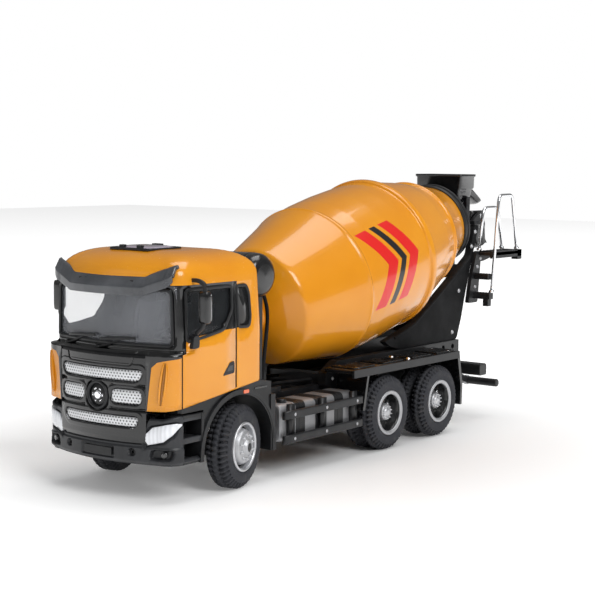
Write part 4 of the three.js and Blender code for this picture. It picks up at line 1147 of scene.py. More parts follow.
class MIXER_OT_cabin(bpy.types.Operator):
    """Inside the cab: seats, dash and steering wheel"""

    bl_idname = "mixer.cabin"
    bl_label = "Seats and dash"

    def execute(self, context):
        cushion = block((4, 14), (-77, -67), (33.2, 37))
        back = along_x(prism([[-69.4, 36.6], [-67, 36.6], [-65, 50], [-67, 50]], 4.5, 13.5))
        rest = along_x(prism([[-67.2, 49.6], [-65.4, 49.6], [-65, 53.2], [-66.6, 53.2]], 6.6, 11.4))
        bolster = along_x(prism([[-70.3, 38], [-69, 37.6], [-66.6, 48], [-67.4, 48.4]], 4.3, 5.6))
        outer = moved(mirrored(bolster), (18, 0, 0))
        floor = block((-21.5, 21.5), (-88, -59), (31.9, 33.3))
        dash = along_x(
            prism(
                rounded(
                    [[-89.6, 33], [-90.2, 39.8], [-87, 41.0], [-83.8, 40.4], [-82.4, 38], [-83, 33]], 0.8, 4
                ),
                -20.6, 20.6
            )
        )
        binnacle = along_x(
            prism(rounded([[-86, 40], [-85.4, 42.4], [-82.8, 41.6], [-82.4, 39]], 0.6, 3), 5.2, 12.0)
        )
        parts = [(floor, "dull"), (dash, "dull"), (binnacle, "black")]
        for piece in (cushion, back, rest, bolster, outer):
            parts += pair(piece, "seat")
        finish("cab_seats", "chassis", parts, bevel=0.55, replaces=["seats"])
        ring = turned(circle(0.42, 10) + np.array([3.4, 0.0]), 48, True)
        hub = turned(rounded([[0.01, 0.45], [1.2, 0.45], [1.3, -0.4], [0.01, -0.4]], 0.2, 3, False), 24)
        spokes = ring_of(block((0.8, 3.3), (-0.35, 0.35), (-0.2, 0.2)), 3)
        column = turned([[0.01, -5.0], [0.6, -5.0], [0.6, 0.0], [0.01, 0.0]], 16)
        wheel = [
            (moved(s, (8.6, -80, 42.4), turn("x", math.radians(28))), "black")
            for s in (ring, hub, spokes, column)
        ]
        finish("steering_rim", "chassis", wheel, replaces=["steering_wheel"])
        return {"FINISHED"}


# ------------------------------------------------------------------ front
def capsule_distance(x, z, half, rise, radius):
    """Signed distance to a rounded bar of half length and half height: below 0 inside."""
    dx = np.abs(x) - (half - radius)
    dz = np.abs(z) - (rise - radius)
    outside = np.hypot(np.maximum(dx, 0), np.maximum(dz, 0))
    return outside + np.minimum(np.maximum(dx, dz), 0) - radius


def smooth_step(value, start, end):
    """0 before start, 1 after end, with a soft turn at each."""
    t = np.clip((value - start) / (end - start), 0, 1)
    return t * t * (3 - 2 * t)


BADGE_Z = 27.6
# Each grille strip: its name in the frame, middle x and z, half length, half height, slant of its ends.
STRIPS = [
    ("grille_upper", 0.0, 33.6, 14.0, 1.5, 0.5),
    ("grille_right", -9.6, 27.9, 4.5, 1.9, 0.0),
    ("grille_left", 9.6, 27.9, 4.5, 1.9, 0.0),
    ("grille_lower", 0.0, 21.3, 12.9, 1.35, 0.4),
]


class MIXER_OT_front(bpy.types.Operator):
    """The black front panel with its recesses, the perforated strips, the badge, the lamps and the wipers"""

    bl_idname = "mixer.front"
    bl_label = "Front panel"

    def execute(self, context):
        self.panel()
        for node, x0, z0, half, rise, slant in STRIPS:
            u = np.linspace(-1, 1, 49)[:, None]
            v = np.linspace(-1, 1, 13)[None, :]
            reach = half - (1 - (1 - np.abs(v) ** 3) ** (1 / 3)) * rise * 0.85 + slant * v
            x = x0 + u * reach
            z = z0 + rise * v + 0 * u
            crown = 0.28 * (1 - np.abs(v) ** 4) + 0 * u
            plate = grid(np.stack([x, front_y(x) + 0.62 - crown, z], -1))
            finish(node + "_plate", "chassis", [(plate, "perforated")], wall=0.45, replaces=[node])
        rim = rounded([[3.0, 0.0], [3.0, 0.7], [3.3, 1.05], [3.7, 1.05], [3.9, 0.75], [3.9, 0.0]], 0.15, 3)
        face = [[0.01, 0.62], [2.1, 0.66], [2.4, 0.5], [3.05, 0.45], [3.05, 0.1], [0.01, 0.1]]
        boss = turned(
            rounded([[0.01, 0.95], [0.85, 0.95], [1.15, 0.8], [1.2, 0.5], [0.01, 0.5]], 0.15, 3, False), 48
        )
        bars = ring_of(badge_dash(), 6)
        badge = [
            (turned(rim, 72, True), "trim"), (turned(face, 72), "black"), (boss, "plated"), (bars, "plated")
        ]
        badge = [(moved(shape, (0, FRONT_Y + 1.12, BADGE_Z), FORWARD), look) for shape, look in badge]
        finish("badge_ring", "chassis", badge, replaces=["badge"])
        self.lamps()
        self.wipers()
        return {"FINISHED"}

    def panel(self):
        """Depth over x and z: recesses with a raised lip round the strips, and a line under the hood flap."""
        x = np.linspace(-PANEL_HALF, PANEL_HALF, 176)[:, None]
        z = np.linspace(15.7, 39.9, 150)[None, :]
        depth = np.zeros((176, 150))
        for _, x0, z0, half, rise, slant in STRIPS:
            reach = half + slant * (z - z0) / rise
            away = capsule_distance((x - x0) * half / reach, z - z0, half + 0.1, rise + 0.1, rise)
            depth += 1.0 * (1 - smooth_step(away, -0.2, 0.35))
            depth -= 0.45 * smooth_step(away, 0.1, 0.5) * (1 - smooth_step(away, 0.9, 1.5))
        flap = capsule_distance(x, z - 40.2, 12.2 - 0.25 * (40.2 - z), 4.0, 0.8)
        depth += 0.5 * (1 - smooth_step(np.abs(flap), 0.05, 0.32))
        depth += 0.7 * smooth_step(z, 30.2, 31.0) * (1 - smooth_step(z, 31.0, 31.5)) * (np.abs(x) > 4.6)
        depth += 0.6 * smooth_step(z, 24.0, 24.6) * (1 - smooth_step(z, 24.6, 25.2)) * (np.abs(x) > 4.4)
        hub = np.hypot(x, z - BADGE_Z)
        depth += 0.8 * (1 - smooth_step(hub, 4.1, 4.6))
        depth += 1.4 * smooth_step(z, 38.4, 39.9)
        depth += 0.5 * (1 - smooth_step(z, 15.7, 17.2))
        depth = np.clip(depth, -0.1, 2.4) + 0.12
        points = np.stack([x + 0 * z, front_y(x) + depth, z + 0 * x], -1)
        lip_x = np.linspace(-1, 1, 60)
        finish(
            "front_panel_face", "chassis", [(grid(points), "gloss_black")], wall=1.2, replaces=["front_panel"]
        )
        trims = []
        section = oblong((-0.3, 0.3), (-0.16, 0.16), 0.1, 2)
        for _, x0, z0, half, rise, slant in STRIPS:
            along = x0 + lip_x * (half + 0.55)
            drop = z0 - rise - 0.62 + 1.9 * np.abs(lip_x) ** 14
            path = np.column_stack([along, front_y(along) + 0.34, drop])
            look = "plated" if z0 < 25 else "trim"
            trims.append((swept(section, path, up=(0, 0, 1)), look))
        finish("grille_lips", "chassis", trims)

    def lamps(self):
        """Leaf-shaped lenses that wrap the corner: columns run from the inner tip to the outer one."""
        t = np.linspace(0, 1, 26)[:, None]
        v = np.linspace(0, 1, 10)[None, :]
        x = 14.6 + 9.1 * t**0.9
        low = np.interp(t, [0, 0.12, 0.6, 0.85, 1], [17.4, 15.6, 16.7, 18.6, 21.0])
        high = np.interp(t, [0, 0.25, 0.7, 0.92, 1], [17.9, 20.3, 21.3, 21.6, 21.4])
        z = low + (high - low) * v
        bulge = 0.3 * np.sin(np.pi * v) * np.sin(np.pi * np.clip(t, 0, 1)) ** 0.5
        x = x + 0 * v
        face = grid(np.stack([x, front_y(x) + 0.25 - bulge, z], -1))
        for name, shape in zip(("left", "right"), both(face)):
            finish("lamp_" + name, "chassis", [(shape, "headlight")], wall=0.7, replaces=["headlamp_" + name])

    def wipers(self):
        """A bent arm and a flat blade, swept along lines on the screen."""
        for name, x0 in (("left", -2.6), ("right", -16.2)):
            arm = np.array([[x0, 39.8], [x0 + 3.5, 40.6], [x0 + 8.3, 42.4]])
            blade = np.column_stack([np.linspace(x0 + 1.2, x0 + 13.2, 14), np.linspace(42.3, 43.1, 14)])
            parts = []
            for line, section in ((arm, circle(0.3, 8)), (blade, oblong((-0.22, 0.22), (-0.4, 0.4), 0.1, 2))):
                dense = np.column_stack(
                    [
                        np.interp(np.linspace(0, 1, 16), np.linspace(0, 1, len(line)), line[:, i])
                        for i in (0, 1)
                    ]
                )
                path = np.column_stack([dense[:, 0], screen_y(dense[:, 0]) - 0.42, dense[:, 1]])
                parts.append((swept(section, path), "black"))
            knob = moved(
                turned(
                    rounded([[0.01, 0.9], [0.7, 0.9], [0.85, 0.4], [0.85, 0.0], [0.01, 0.0]], 0.15, 2, False),
                    20
                ),
                (x0 + 0.2, float(screen_y(x0)) + 0.1, 39.9), FORWARD
            )
            parts.append((knob, "black"))
            finish("wiper_arm_" + name, "chassis", parts, replaces=["wiper_" + name])


def badge_dash():
    """One raised dash of the badge's ring of six."""
    return moved(prism(oblong((-0.22, 0.22), (-0.42, 0.42), 0.12, 2), 0.4, 0.8), (1.75, 0, 0))


class MIXER_OT_bumper(bpy.types.Operator):
    """The bumper with its corner steps: one skin round the plan, its recesses a depth over the grid."""

    bl_idname = "mixer.bumper"
    bl_label = "Bumper"

    def execute(self, context):
        x = np.linspace(0, CORNER_X, 66)
        angles = np.linspace(0, np.pi / 2, 26)[1:]
        corner_x, corner_y = corner_plan(angles).T
        side_y = np.array([-89.3, -87, -85, -82.7, -82.2, -81.5])
        side_y = side_y[side_y > CORNER_Y]
        px = np.concatenate([x, corner_x, np.full(len(side_y), BODY_HALF)])
        py = np.concatenate([front_y(x), corner_y, side_y])
        px, py = np.concatenate([-px[:0:-1], px]), np.concatenate([py[:0:-1], py])
        ahead = np.column_stack([np.gradient(px), np.gradient(py)])
        ahead /= np.linalg.norm(ahead, axis=1, keepdims=True)
        inward = np.column_stack([-ahead[:, 1], ahead[:, 0]])
        a = np.abs(px)
        top = 15.7 + 6.9 * smooth_step(a, 14.2, 16.4) + 0.9 * smooth_step(a, 20, 24)
        v = np.linspace(0, 1, 64)[:, None]
        z = 10.2 + (top - 10.2) * v
        a2 = a[None, :] + 0 * z
        depth = 0.9 * (1 - smooth_step(z, 10.2, 11.4)) + 0.35 * smooth_step(z, 14.6, 15.1) * (a2 < 24.5)
        depth += 0.5 * smooth_step(v, 0.965, 1.0)
        plate = capsule_distance(px[None, :] + 0 * z, z - 12.9, 5.8, 1.5, 0.35)
        depth += 0.6 * (1 - smooth_step(plate, -0.1, 0.25))
        fog = capsule_distance(a2 - 19.6 - 0.25 * (z - 13), z - 13.1, 2.9, 1.25, 0.7)
        depth += 1.7 * (1 - smooth_step(fog, -0.25, 0.3)) * (py[None, :] < -89)
        hook = capsule_distance(a2 - 11.4, z - 13.4, 0.9, 0.9, 0.85)
        depth += 1.3 * (1 - smooth_step(hook, -0.15, 0.2))
        lamp_low = np.interp(a, [14.4, 15.4, 20.6, 22.8, 23.9], [17.2, 15.2, 16.2, 18.0, 20.9])
        lamp_high = np.interp(a, [14.4, 16.8, 22.2, 23.2, 23.9], [18.0, 20.6, 21.7, 21.8, 21.3])
        below = 1 - smooth_step(z, lamp_high - 0.1, lamp_high + 0.25)
        inside = smooth_step(z, lamp_low - 0.25, lamp_low + 0.1) * below
        depth += 0.85 * inside * (a2 > 14.3) * (py[None, :] < -88.6)
        points = np.stack([px + inward[:, 0] * depth, py + inward[:, 1] * depth, z], -1)
        y_mid = (py[1:] + py[:-1])[None, :] / 2 + 0 * z[1:, 1:]
        z_mid = (z[1:, 1:] + z[:-1, :-1]) / 2
        step = (y_mid > -89.4) & (y_mid < -82.4) & (a[None, 1:] > 23.0)
        hole = step & (((z_mid > 17.3) & (z_mid < 21.9)) | ((z_mid > 11.2) & (z_mid < 15.8)))
        skin = grid(points, keep=~hole)
        finish("bumper_skin", "chassis", [(skin, "bumper")], wall=1.3, replaces=["bumper"])
        parts = []
        tread = block((17.6, 23.6), (-89.3, -82.7), (10.4, 11.2))
        shelf = moved(tread, (0, 0, 6.1))
        back = block((17.4, 18.4), (-90.8, -81.5), (10.2, 23.6))
        end = block((17.6, 23.9), (-82.5, -81.45), (10.3, 23.5))
        front_end = block((17.6, 22.6), (-90.3, -89.5), (10.6, 23.2))
        roof = block((17.6, 23.7), (-89.6, -82.2), (22.4, 23.5))
        for piece in (back, end, front_end, roof):
            parts += pair(piece, "black")
        for piece in (tread, shelf):
            parts += pair(piece, "treadplate")
        finish("bumper_steps", "chassis", parts, bevel=edge())
        bits = []
        fog_lens = turned(
            rounded([[0.01, 0.55], [0.7, 0.5], [1.0, 0.2], [1.0, -0.3], [0.01, -0.3]], 0.15, 3, False), 32
        )
        shaft = moved(fog_lens, (19.9, float(front_y(19.9)) + 1.25, 13.1), turn("z", 0.35) @ FORWARD)
        bits += pair(shaft, "smoked")
        hook_ring = turned(circle(0.22, 8) + np.array([0.62, 0]), 24, True)
        eye = moved(hook_ring, (11.4, float(front_y(11.4)) + 0.75, 13.4), FORWARD)
        bits += pair(eye, "black")
        blank = prism(oblong((-5.1, 5.1), (-1.05, 1.05), 0.35, 3), 0.0, 0.35)
        bits.append((moved(blank, (0, FRONT_Y + 0.62, 12.9), FORWARD), "black"))
        finish("bumper_fittings", "chassis", bits, bevel=0.08)
        return {"FINISHED"}


class MIXER_OT_roof(bpy.types.Operator):
    """Sun visor, roof hatch, roof ribs and mirrors"""

    bl_idname = "mixer.roof"
    bl_label = "Visor, hatch and mirrors"

    def execute(self, context):
        x = np.linspace(-21.5, 21.5, 91)
        a = np.abs(x)
        low = np.interp(a, [0, 13.2, 14.4, 20.2, 21.5], [54.4, 54.4, 54.9, 56.9, 58.2])
        high = np.interp(a, [0, 13.0, 14.4, 20.4, 21.5], [59.6, 59.6, 60.3, 62.4, 62.7])
        v = np.linspace(0, 1, 30)[None, :]
        z = low[:, None] + (high - low)[:, None] * v
        tier = 0.3 * smooth_step(v, 0.42, 0.48) + 1.5 * np.clip((v - 0.48) / 0.52, 0, 1)
        tier = tier + 0.6 * smooth_step(v, 0.93, 1.0)
        y = front_y(x)[:, None] + 1.72 + tier
        shade = grid(np.stack([x[:, None] + 0 * v, y, z], -1))
        # the visor material's raised tone is partly a painted highlight
        finish("visor_shade", "chassis", [(shade, "visor")], wall=1.0, replaces=["visor"])
        lug = prism(oblong((-1, 1), (-0.8, 0.8), 0.3, 3), 0, 3.4)
        feet = [moved(lug, (x0, -94.0, 57.6), REARWARD) for x0 in (-9, 9)]
        finish("visor_feet", "chassis", [(f, "black") for f in feet], bevel=edge())
        u = np.linspace(-1, 1, 25)[:, None]
        w = np.linspace(-1, 1, 25)[None, :]
        fold = smooth_step(np.maximum(np.abs(u), np.abs(w)) + 0 * u * w, 0.93, 1)
        dome = 66.55 - 0.5 * np.abs(u) ** 4 - 0.5 * np.abs(w) ** 4 - 0.6 * fold
        lid = grid(np.stack([u * 6.5 + 0 * w, -78.2 + w * 5.7 + 0 * u, dome], -1))
        frame_line = oblong((-7.2, 7.2), (-84.8, -71.8), 1.4, 5)
        path = np.column_stack([frame_line, np.full(len(frame_line), 65.7)])
        rim = swept(oblong((-0.5, 0.5), (-0.4, 0.35), 0.2, 2), path, True)
        clips = [block((x0 - 0.8, x0 + 0.8), (-84.6, -83.2), (65.6, 66.75)) for x0 in (-3.2, 3.2)]
        latch = block((-1.6, 1.6), (-74.2, -72.8), (66.0, 66.7))
        finish("roof_hatch_lid", "chassis", [(lid, "hatch")], wall=0.7, replaces=["roof_hatch"])
        parts = [(rim, "trim"), (latch, "black")] + [(c, "black") for c in clips]
        finish("roof_hatch_frame", "chassis", parts, bevel=0.15)
        self.mirrors()
        return {"FINISHED"}

    def mirrors(self):
        """Rounded housings whose section shrinks to each end, on a swept top arm and a lower stalk."""
        section = oblong((-1.55, 1.55), (-1.15, 1.15), 0.8, 4)
        z = np.array([47.42, 47.6, 48.1, 49.0, 51, 53, 54.4, 55.2, 55.6, 55.78])
        size = np.array([0.7, 0.86, 0.96, 1, 1, 1, 1, 0.95, 0.86, 0.7])
        path = np.column_stack([np.full(10, 26.87), np.full(10, -84.8), z])
        head = swept(section, path, up=(0, 1, 0), scale=size)
        pane = prism(oblong((-1.25, 1.25), (-3.5, 3.5), 0.5, 4), 0, 0.12)
        pane = moved(pane, (26.87, -83.6, 51.6), REARWARD)
        bar = oblong((-0.55, 0.55), (-0.5, 0.5), 0.3, 3)
        top = rounded(
            [[22.3, -85.0, 58.5], [24.6, -85.0, 58.6], [26.9, -84.9, 57.7], [26.9, -84.8, 55.4]], 2.4, 7,
            False
        )
        stalk = rounded(
            [[23.6, -85.2, 43.8], [24.9, -85.2, 45.2], [26.3, -85.0, 46.4], [26.4, -84.9, 48]], 1.2, 5, False
        )
        foot = prism(
            rounded([[-87.3, 40.7], [-84.5, 40.9], [-84.5, 44.1], [-86.7, 44.1]], 0.7, 4), 22.95, 24.85
        )
        shapes = [(head, "gloss_black"), (along_x(foot), "black"), (pane, "mirror_face")]
        shapes[1:1] = [(swept(bar, line, up=(0, 1, 0)), "black") for line in (top, stalk)]
        for name, parts in sides(shapes):
            finish("mirror_head_" + name, "chassis", parts, bevel=0.12, replaces=["mirror_" + name])


# ------------------------------------------------------------------ lower body
def arc(centre, radius, start, end, steps):
    """Points on a circle between two angles in degrees."""
    angle = np.radians(np.linspace(start, end, steps))
    return np.column_stack([centre[0] + radius * np.cos(angle), centre[1] + radius * np.sin(angle)])


class MIXER_OT_lower(bpy.types.Operator):
    """Cab base with fenders, mudguards, side guards, tank, battery box and air tank"""

    bl_idname = "mixer.lower"
    bl_label = "Lower body"

    def execute(self, context):
        self.base()
        self.mudguards()
        self.guards()
        self.tank()
        self.air_tank()
        return {"FINISHED"}

    def base(self):
        """Arch, deck and skirt as outlines in the side view carried across; the arch's lip is swept."""
        centre = (FRONT_AXLE_Y, TYRE_R)
        arch = np.vstack([
            [[FRONT_AXLE_Y + 16.1, 8.8]], arc(centre, 16.1, 0, 180, 40), [[FRONT_AXLE_Y - 16.1, 10.2]],
            [[FRONT_AXLE_Y - 14.7, 10.2]], arc(centre, 14.7, 178, 2, 40), [[FRONT_AXLE_Y + 14.7, 8.8]],
        ])
        lip = np.vstack([
            arc(centre, 16.15, 2, 178, 40), arc(centre, 15.2, 178, 2, 40),
        ])
        skirt = np.vstack([
            [
                [-81.45, 15], [-81.45, 24.0], [-90, 24.0], [-90, 25.2], [-57.4, 29.25], [-52.5, 28.4],
                [-52.5, 24.8], [-51.0, 24.6], [-51.0, 9.0], [-52.2, 9.0]
            ],
            arc(centre, 14.8, 4, 168, 40),
        ])
        deck = np.vstack([
            [[-90, 23.7], [-90, 25.25], [-57.5, 29.3], [-52.5, 28.5], [-52.5, 24.8]],
            arc(centre, 15, 60, 122, 16),
        ])
        parts = pair(along_x(prism(arch, 14.05, 24.1)), "black")
        parts += pair(along_x(prism(lip, 23.6, 24.2)), "trim")
        parts += pair(along_x(prism(skirt, 21.6, 23.5)), "black")
        parts.append((along_x(prism(deck, -22, 22)), "dull"))
        wall = block((14.2, 23.9), (-53, -51), (8.9, 24.7))
        parts += pair(wall, "black")
        finish("cab_base_body", "chassis", parts, bevel=edge(), replaces=["cab_base"])
        marker = prism(oblong((-1.1, 1.1), (-0.5, 0.5), 0.3, 3), 0, 0.35)
        laid = moved(along_x(marker), (24.05, -64.4, 26.95))
        slot = along_x(prism(oblong((-60, -54.4), (26.9, 27.5), 0.2, 2), 23.3, 23.7))
        lamps = pair(laid, "amber") + pair(slot, "gloss_black")
        finish("side_markers", "chassis", lamps, bevel=0.08)

    def mudguards(self):
        """Deck and flaps follow one line over the rear wheels, carried across with a rolled lip."""
        line = np.array(
            [
                [-8, 14], [-6.2, 22.5], [-5.6, 24.6], [-12.9, 25.7], [-12.9, 26.95], [46.9, 26.95],
                [48.3, 26.5], [50.5, 15.2], [50.2, 8.7], [49.0, 8.7], [49.3, 15], [47.0, 25.6], [-4.4, 25.6],
                [-5.2, 22.3], [-6.8, 14]
            ]
        )
        body = along_x(prism(rounded(line, 0.5, 3), 13.1, 24.1))
        rib = along_x(
            prism(rounded([[-12.9, 24.5], [-12.9, 26.9], [48.2, 26.9], [48.2, 24.5]], 0.3, 3), 23.3, 24.2)
        )
        screw = turned(rounded([[0.01, 0.5], [0.55, 0.45], [0.85, 0.15], [0.85, -0.2]], 0.1, 3, False), 20)
        slot = block((-0.6, 0.6), (-0.1, 0.1), (0.38, 0.52))
        spots = [(x, y, 26.95) for x in (15.6, 22.0) for y in (-8.5, 20, 44)]
        plates = [block((14.2, 22.8), (y, y + 11), (26.9, 27.35)) for y in (-11, 4.5, 21.5, 36)]
        shapes = [
            (body, "gloss_black"), (rib, "black"), (copies(screw, spots), "plated"),
            (copies(slot, spots), "black")
        ]
        for name, parts in sides(shapes + [(plate, "gloss_black") for plate in plates]):
            finish("mudguard_" + name + "_body", "chassis", parts, bevel=0.15, replaces=["mudguard_" + name])

    def guards(self):
        """Two rounded rails on posts, with end caps and screws."""
        section = oblong((-0.6, 0.6), (-1.2, 1.2), 0.35, 3)
        shapes = []
        for z in (10.6, 17.6):
            path = np.column_stack([np.full(12, 23.6), np.linspace(-46.6, -8.3, 12), np.full(12, z)])
            shapes.append((swept(section, path, up=(0, 0, 1)), "trim"))
        for y in (-42, -26.6, -11):
            shapes.append((block((21.8, 23.1), (y - 1.2, y + 1.2), (9.6, 20.4)), "black"))
            screw = along_x(
                moved(turned(rounded([[0.01, 0.28], [0.4, 0.25], [0.6, 0.0]], 0.1, 2, False), 16), (y, 0, 0))
            )
            for z in (10.6, 17.6):
                shapes.append((moved(screw, (24.05, 0, z)), "silver"))
        for name, parts in sides(shapes):
            finish("side_guard_" + name + "_rails", "chassis", parts, replaces=["side_guard_" + name])

    def tank(self):
        """A rounded box between pressed ends, with ribbed straps; the far side has a battery box."""
        box = np.array([[12, 9.6], [21.8, 9.6], [21.8, 20.4], [12, 20.4]])
        middle = np.array([16.9, 15.0])
        outline = rounded(box, 1.9, 6)
        stations = [
            (-45.95, 0.9), (-45.6, 0.97), (-45.0, 0.99), (-44.6, 1.0), (-10.8, 1.0), (-10.4, 0.99),
            (-9.8, 0.97), (-9.45, 0.9)
        ]
        count = len(outline)
        rings = [np.column_stack([(outline - middle) * k + middle, np.full(count, y)]) for y, k in stations]
        points, quads, _ = along_y(grid(np.stack(rings), (False, True)))
        last = (len(stations) - 1) * count
        body = (points, quads, [np.arange(count), np.arange(last, last + count)])
        # the tank's body takes the darker silver, which is painted shade
        parts = [(body, "tank")]
        for y in (-36.5, -27, -17.5):
            for shift in (-1.5, 0, 1.5):
                strap = (outline - middle) * (1.028 if shift == 0 else 1.018) + middle
                parts.append((along_y(prism(strap, y + shift - 0.75, y + shift + 0.75)), "black"))
        neck = moved(
            turned(rounded([[0.01, 1.3], [1.1, 1.3], [1.5, 1.0], [1.5, 0]], 0.2, 3, False), 32),
            (18.6, -41.5, 20.3)
        )
        parts.append((neck, "black"))
        finish("fuel_tank_body", "chassis", parts, bevel=0.12, replaces=["fuel_tank"])
        lid = oblong((11.9, 21.95), (18.2, 20.45), 0.7, 3)
        case = along_y(prism(rounded(box, 0.8, 3), -45.9, -30.1))
        cover = along_y(prism(lid, -46, -30))
        bottle = turned(
            rounded(
                [[0.01, -10.3], [3.4, -10.1], [4.5, -8.6], [4.5, 8.6], [3.4, 10.1], [0.01, 10.3]], 0.8, 4,
                False
            ),
            48
        )
        ribs = [block((21.7, 22.0), (y - 0.5, y + 0.5), (10.4, 18)) for y in (-43, -40, -37, -34, -31.8)]
        laid = moved(bottle, (16.8, -19.85, 15), FORWARD)
        shapes = [(case, "black"), (cover, "trim"), (laid, "silver")] + [(r, "black") for r in ribs]
        finish(
            "battery_box_body", "chassis", [(mirrored(s), k) for s, k in shapes], bevel=0.15,
            replaces=["battery_box"]
        )

    def air_tank(self):
        """A capsule across the truck on two posts, with bands round it."""
        line = rounded(
            [
                [0.01, -14.5], [4.6, -14.3], [6.1, -12.9], [6.55, -11.2], [6.55, 11.2], [6.1, 12.9],
                [4.6, 14.3], [0.01, 14.5]
            ],
            1.2, 5, False
        )
        at = (0, -43.8, 56.7)
        body = moved(turned(line, 64), at, OUTWARD)
        band = oblong((6.4, 6.6), (-0.7, 0.7), 0.08, 2)
        bands = [moved(turned(band + np.array([0, s]), 64, True), at, OUTWARD) for s in (-9.2, 9.2)]
        parts = [(body, "gloss_black")] + [(b, "black") for b in bands]
        parts += pair(block((9.6, 12.2), (-45.3, -42.3), (22.6, 52.5)), "black")
        parts.append((block((-12.2, 12.2), (-46.1, -41.5), (21.25, 22.8)), "black"))
        hose_line = rounded(
            [[11.0, -40.8, 52.0], [11.4, -38.6, 46], [10.8, -39.4, 34], [10.9, -41.2, 24]], 5, 8, False
        )
        parts += pair(swept(circle(0.55, 10), hose_line), "dull")
        finish("air_tank_body", "chassis", parts, bevel=0.15, replaces=["air_tank"])


# ------------------------------------------------------------------ drum stands, hopper, chute
class MIXER_OT_stands(bpy.types.Operator):
    """The drum's front and rear pedestals"""

    bl_idname = "mixer.stands"
    bl_label = "Drum pedestals"

    def execute(self, context):
        house = [
            [2.6, -44.9], [6.0, -44.9], [6.4, -44.5], [6.4, -43.4], [5.9, -43.1], [5.9, -42.2], [6.4, -41.9],
            [6.4, -40.7], [5.5, -40.0], [2.6, -40.0]
        ]
        bolt = turned([[0.01, 0.45], [0.45, 0.45], [0.55, 0.3], [0.55, 0.0]], 6)
        bolts = ring_of(moved(bolt, (4.5, 0, -44.8), turn("x", math.pi)), 8)
        leg = rounded(
            [[-43.8, 39], [-39.9, 39], [-34.4, 26.5], [-34.4, 21.3], [-37.6, 21.3], [-37.6, 30]], 1.2, 4
        )
        plate = oblong((-10, 10), (-37.5, -30.1), 0.6, 3)
        parts = [
            (drum_axis(turned(rounded(house, 0.15, 2), 72, True)), "black"), (drum_axis(bolts), "silver")
        ]
        parts += pair(along_x(prism(leg, 4.7, 7.5)), "black")
        parts.append((prism(plate, 21.25, 23), "black"))
        web = along_x(
            prism([[-40.6, 38], [-38.6, 36], [-36, 30], [-36, 24], [-37.2, 24], [-37.2, 30]], -4.8, 4.8)
        )
        parts.append((web, "dull"))
        finish("front_pedestal_body", "chassis", parts, bevel=edge(), replaces=["front_pedestal"])
        side = [
            [30, 28.25], [65.5, 28.25], [68.4, 35.4], [70.6, 43], [74.0, 53.0], [79.3, 67.3], [76.3, 67.3],
            [73.6, 57.0], [63.4, 50.8], [50.9, 43.4], [43.6, 39.4], [37.6, 35.9], [26.4, 32.7], [20.7, 31.5],
            [24.4, 29.5]
        ]
        plates = both(along_x(prism(rounded(side, 1.4, 4), 10.1, 12.4)))
        flange = np.array(side[7:13]) - np.array([0.0, 0.5])
        path = np.column_stack([np.full(len(flange), 11.8), flange])
        soft = rounded(path, 2.2, 6, False)
        lip = swept(oblong((-0.45, 0.45), (-1.1, 1.1), 0.3, 2), soft, up=(1, 0, 0))
        cradle = rounded([[60, 30], [66, 30], [68.4, 36], [62.6, 36]], 0.8, 3)
        upper = rounded([[72.6, 50], [76, 50], [77.5, 53.1], [75.8, 53.5]], 0.6, 3)
        parts = [(s, "dull") for s in plates] + pair(lip, "dull")
        parts += [
            (along_x(prism(cradle, -10.2, 10.2)), "black"), (along_x(prism(upper, -10.2, 10.2)), "black")
        ]
        parts.append((block((-10.2, 10.2), (72.9, 80.3), (48.7, 50.3)), "black"))
        parts.append((block((-2.2, 2.2), (78.6, 80.4), (50, 64)), "black"))
        parts.append((block((-2, 2), (79.6, 80.9), (57.7, 63.9)), "black"))
        sleeve = turned(oblong((1.42, 2.3), (57.65, 63.95), 0.2, 3), 40, True)
        parts.append((moved(sleeve, (0, 82.6, 0)), "trim"))
        rivet = turned(rounded([[0.01, 0.5], [0.5, 0.42], [0.75, 0.0]], 0.15, 3, False), 16)
        spots = [(12.35, y, z) for y, z in ((62.5, 31), (66.5, 45), (74.6, 60), (76.9, 65))]
        parts += pair(copies(moved(rivet, by=OUTWARD), spots), "silver")
        finish("rear_pedestal_body", "chassis", parts, bevel=0.16, replaces=["rear_pedestal"])
        return {"FINISHED"}


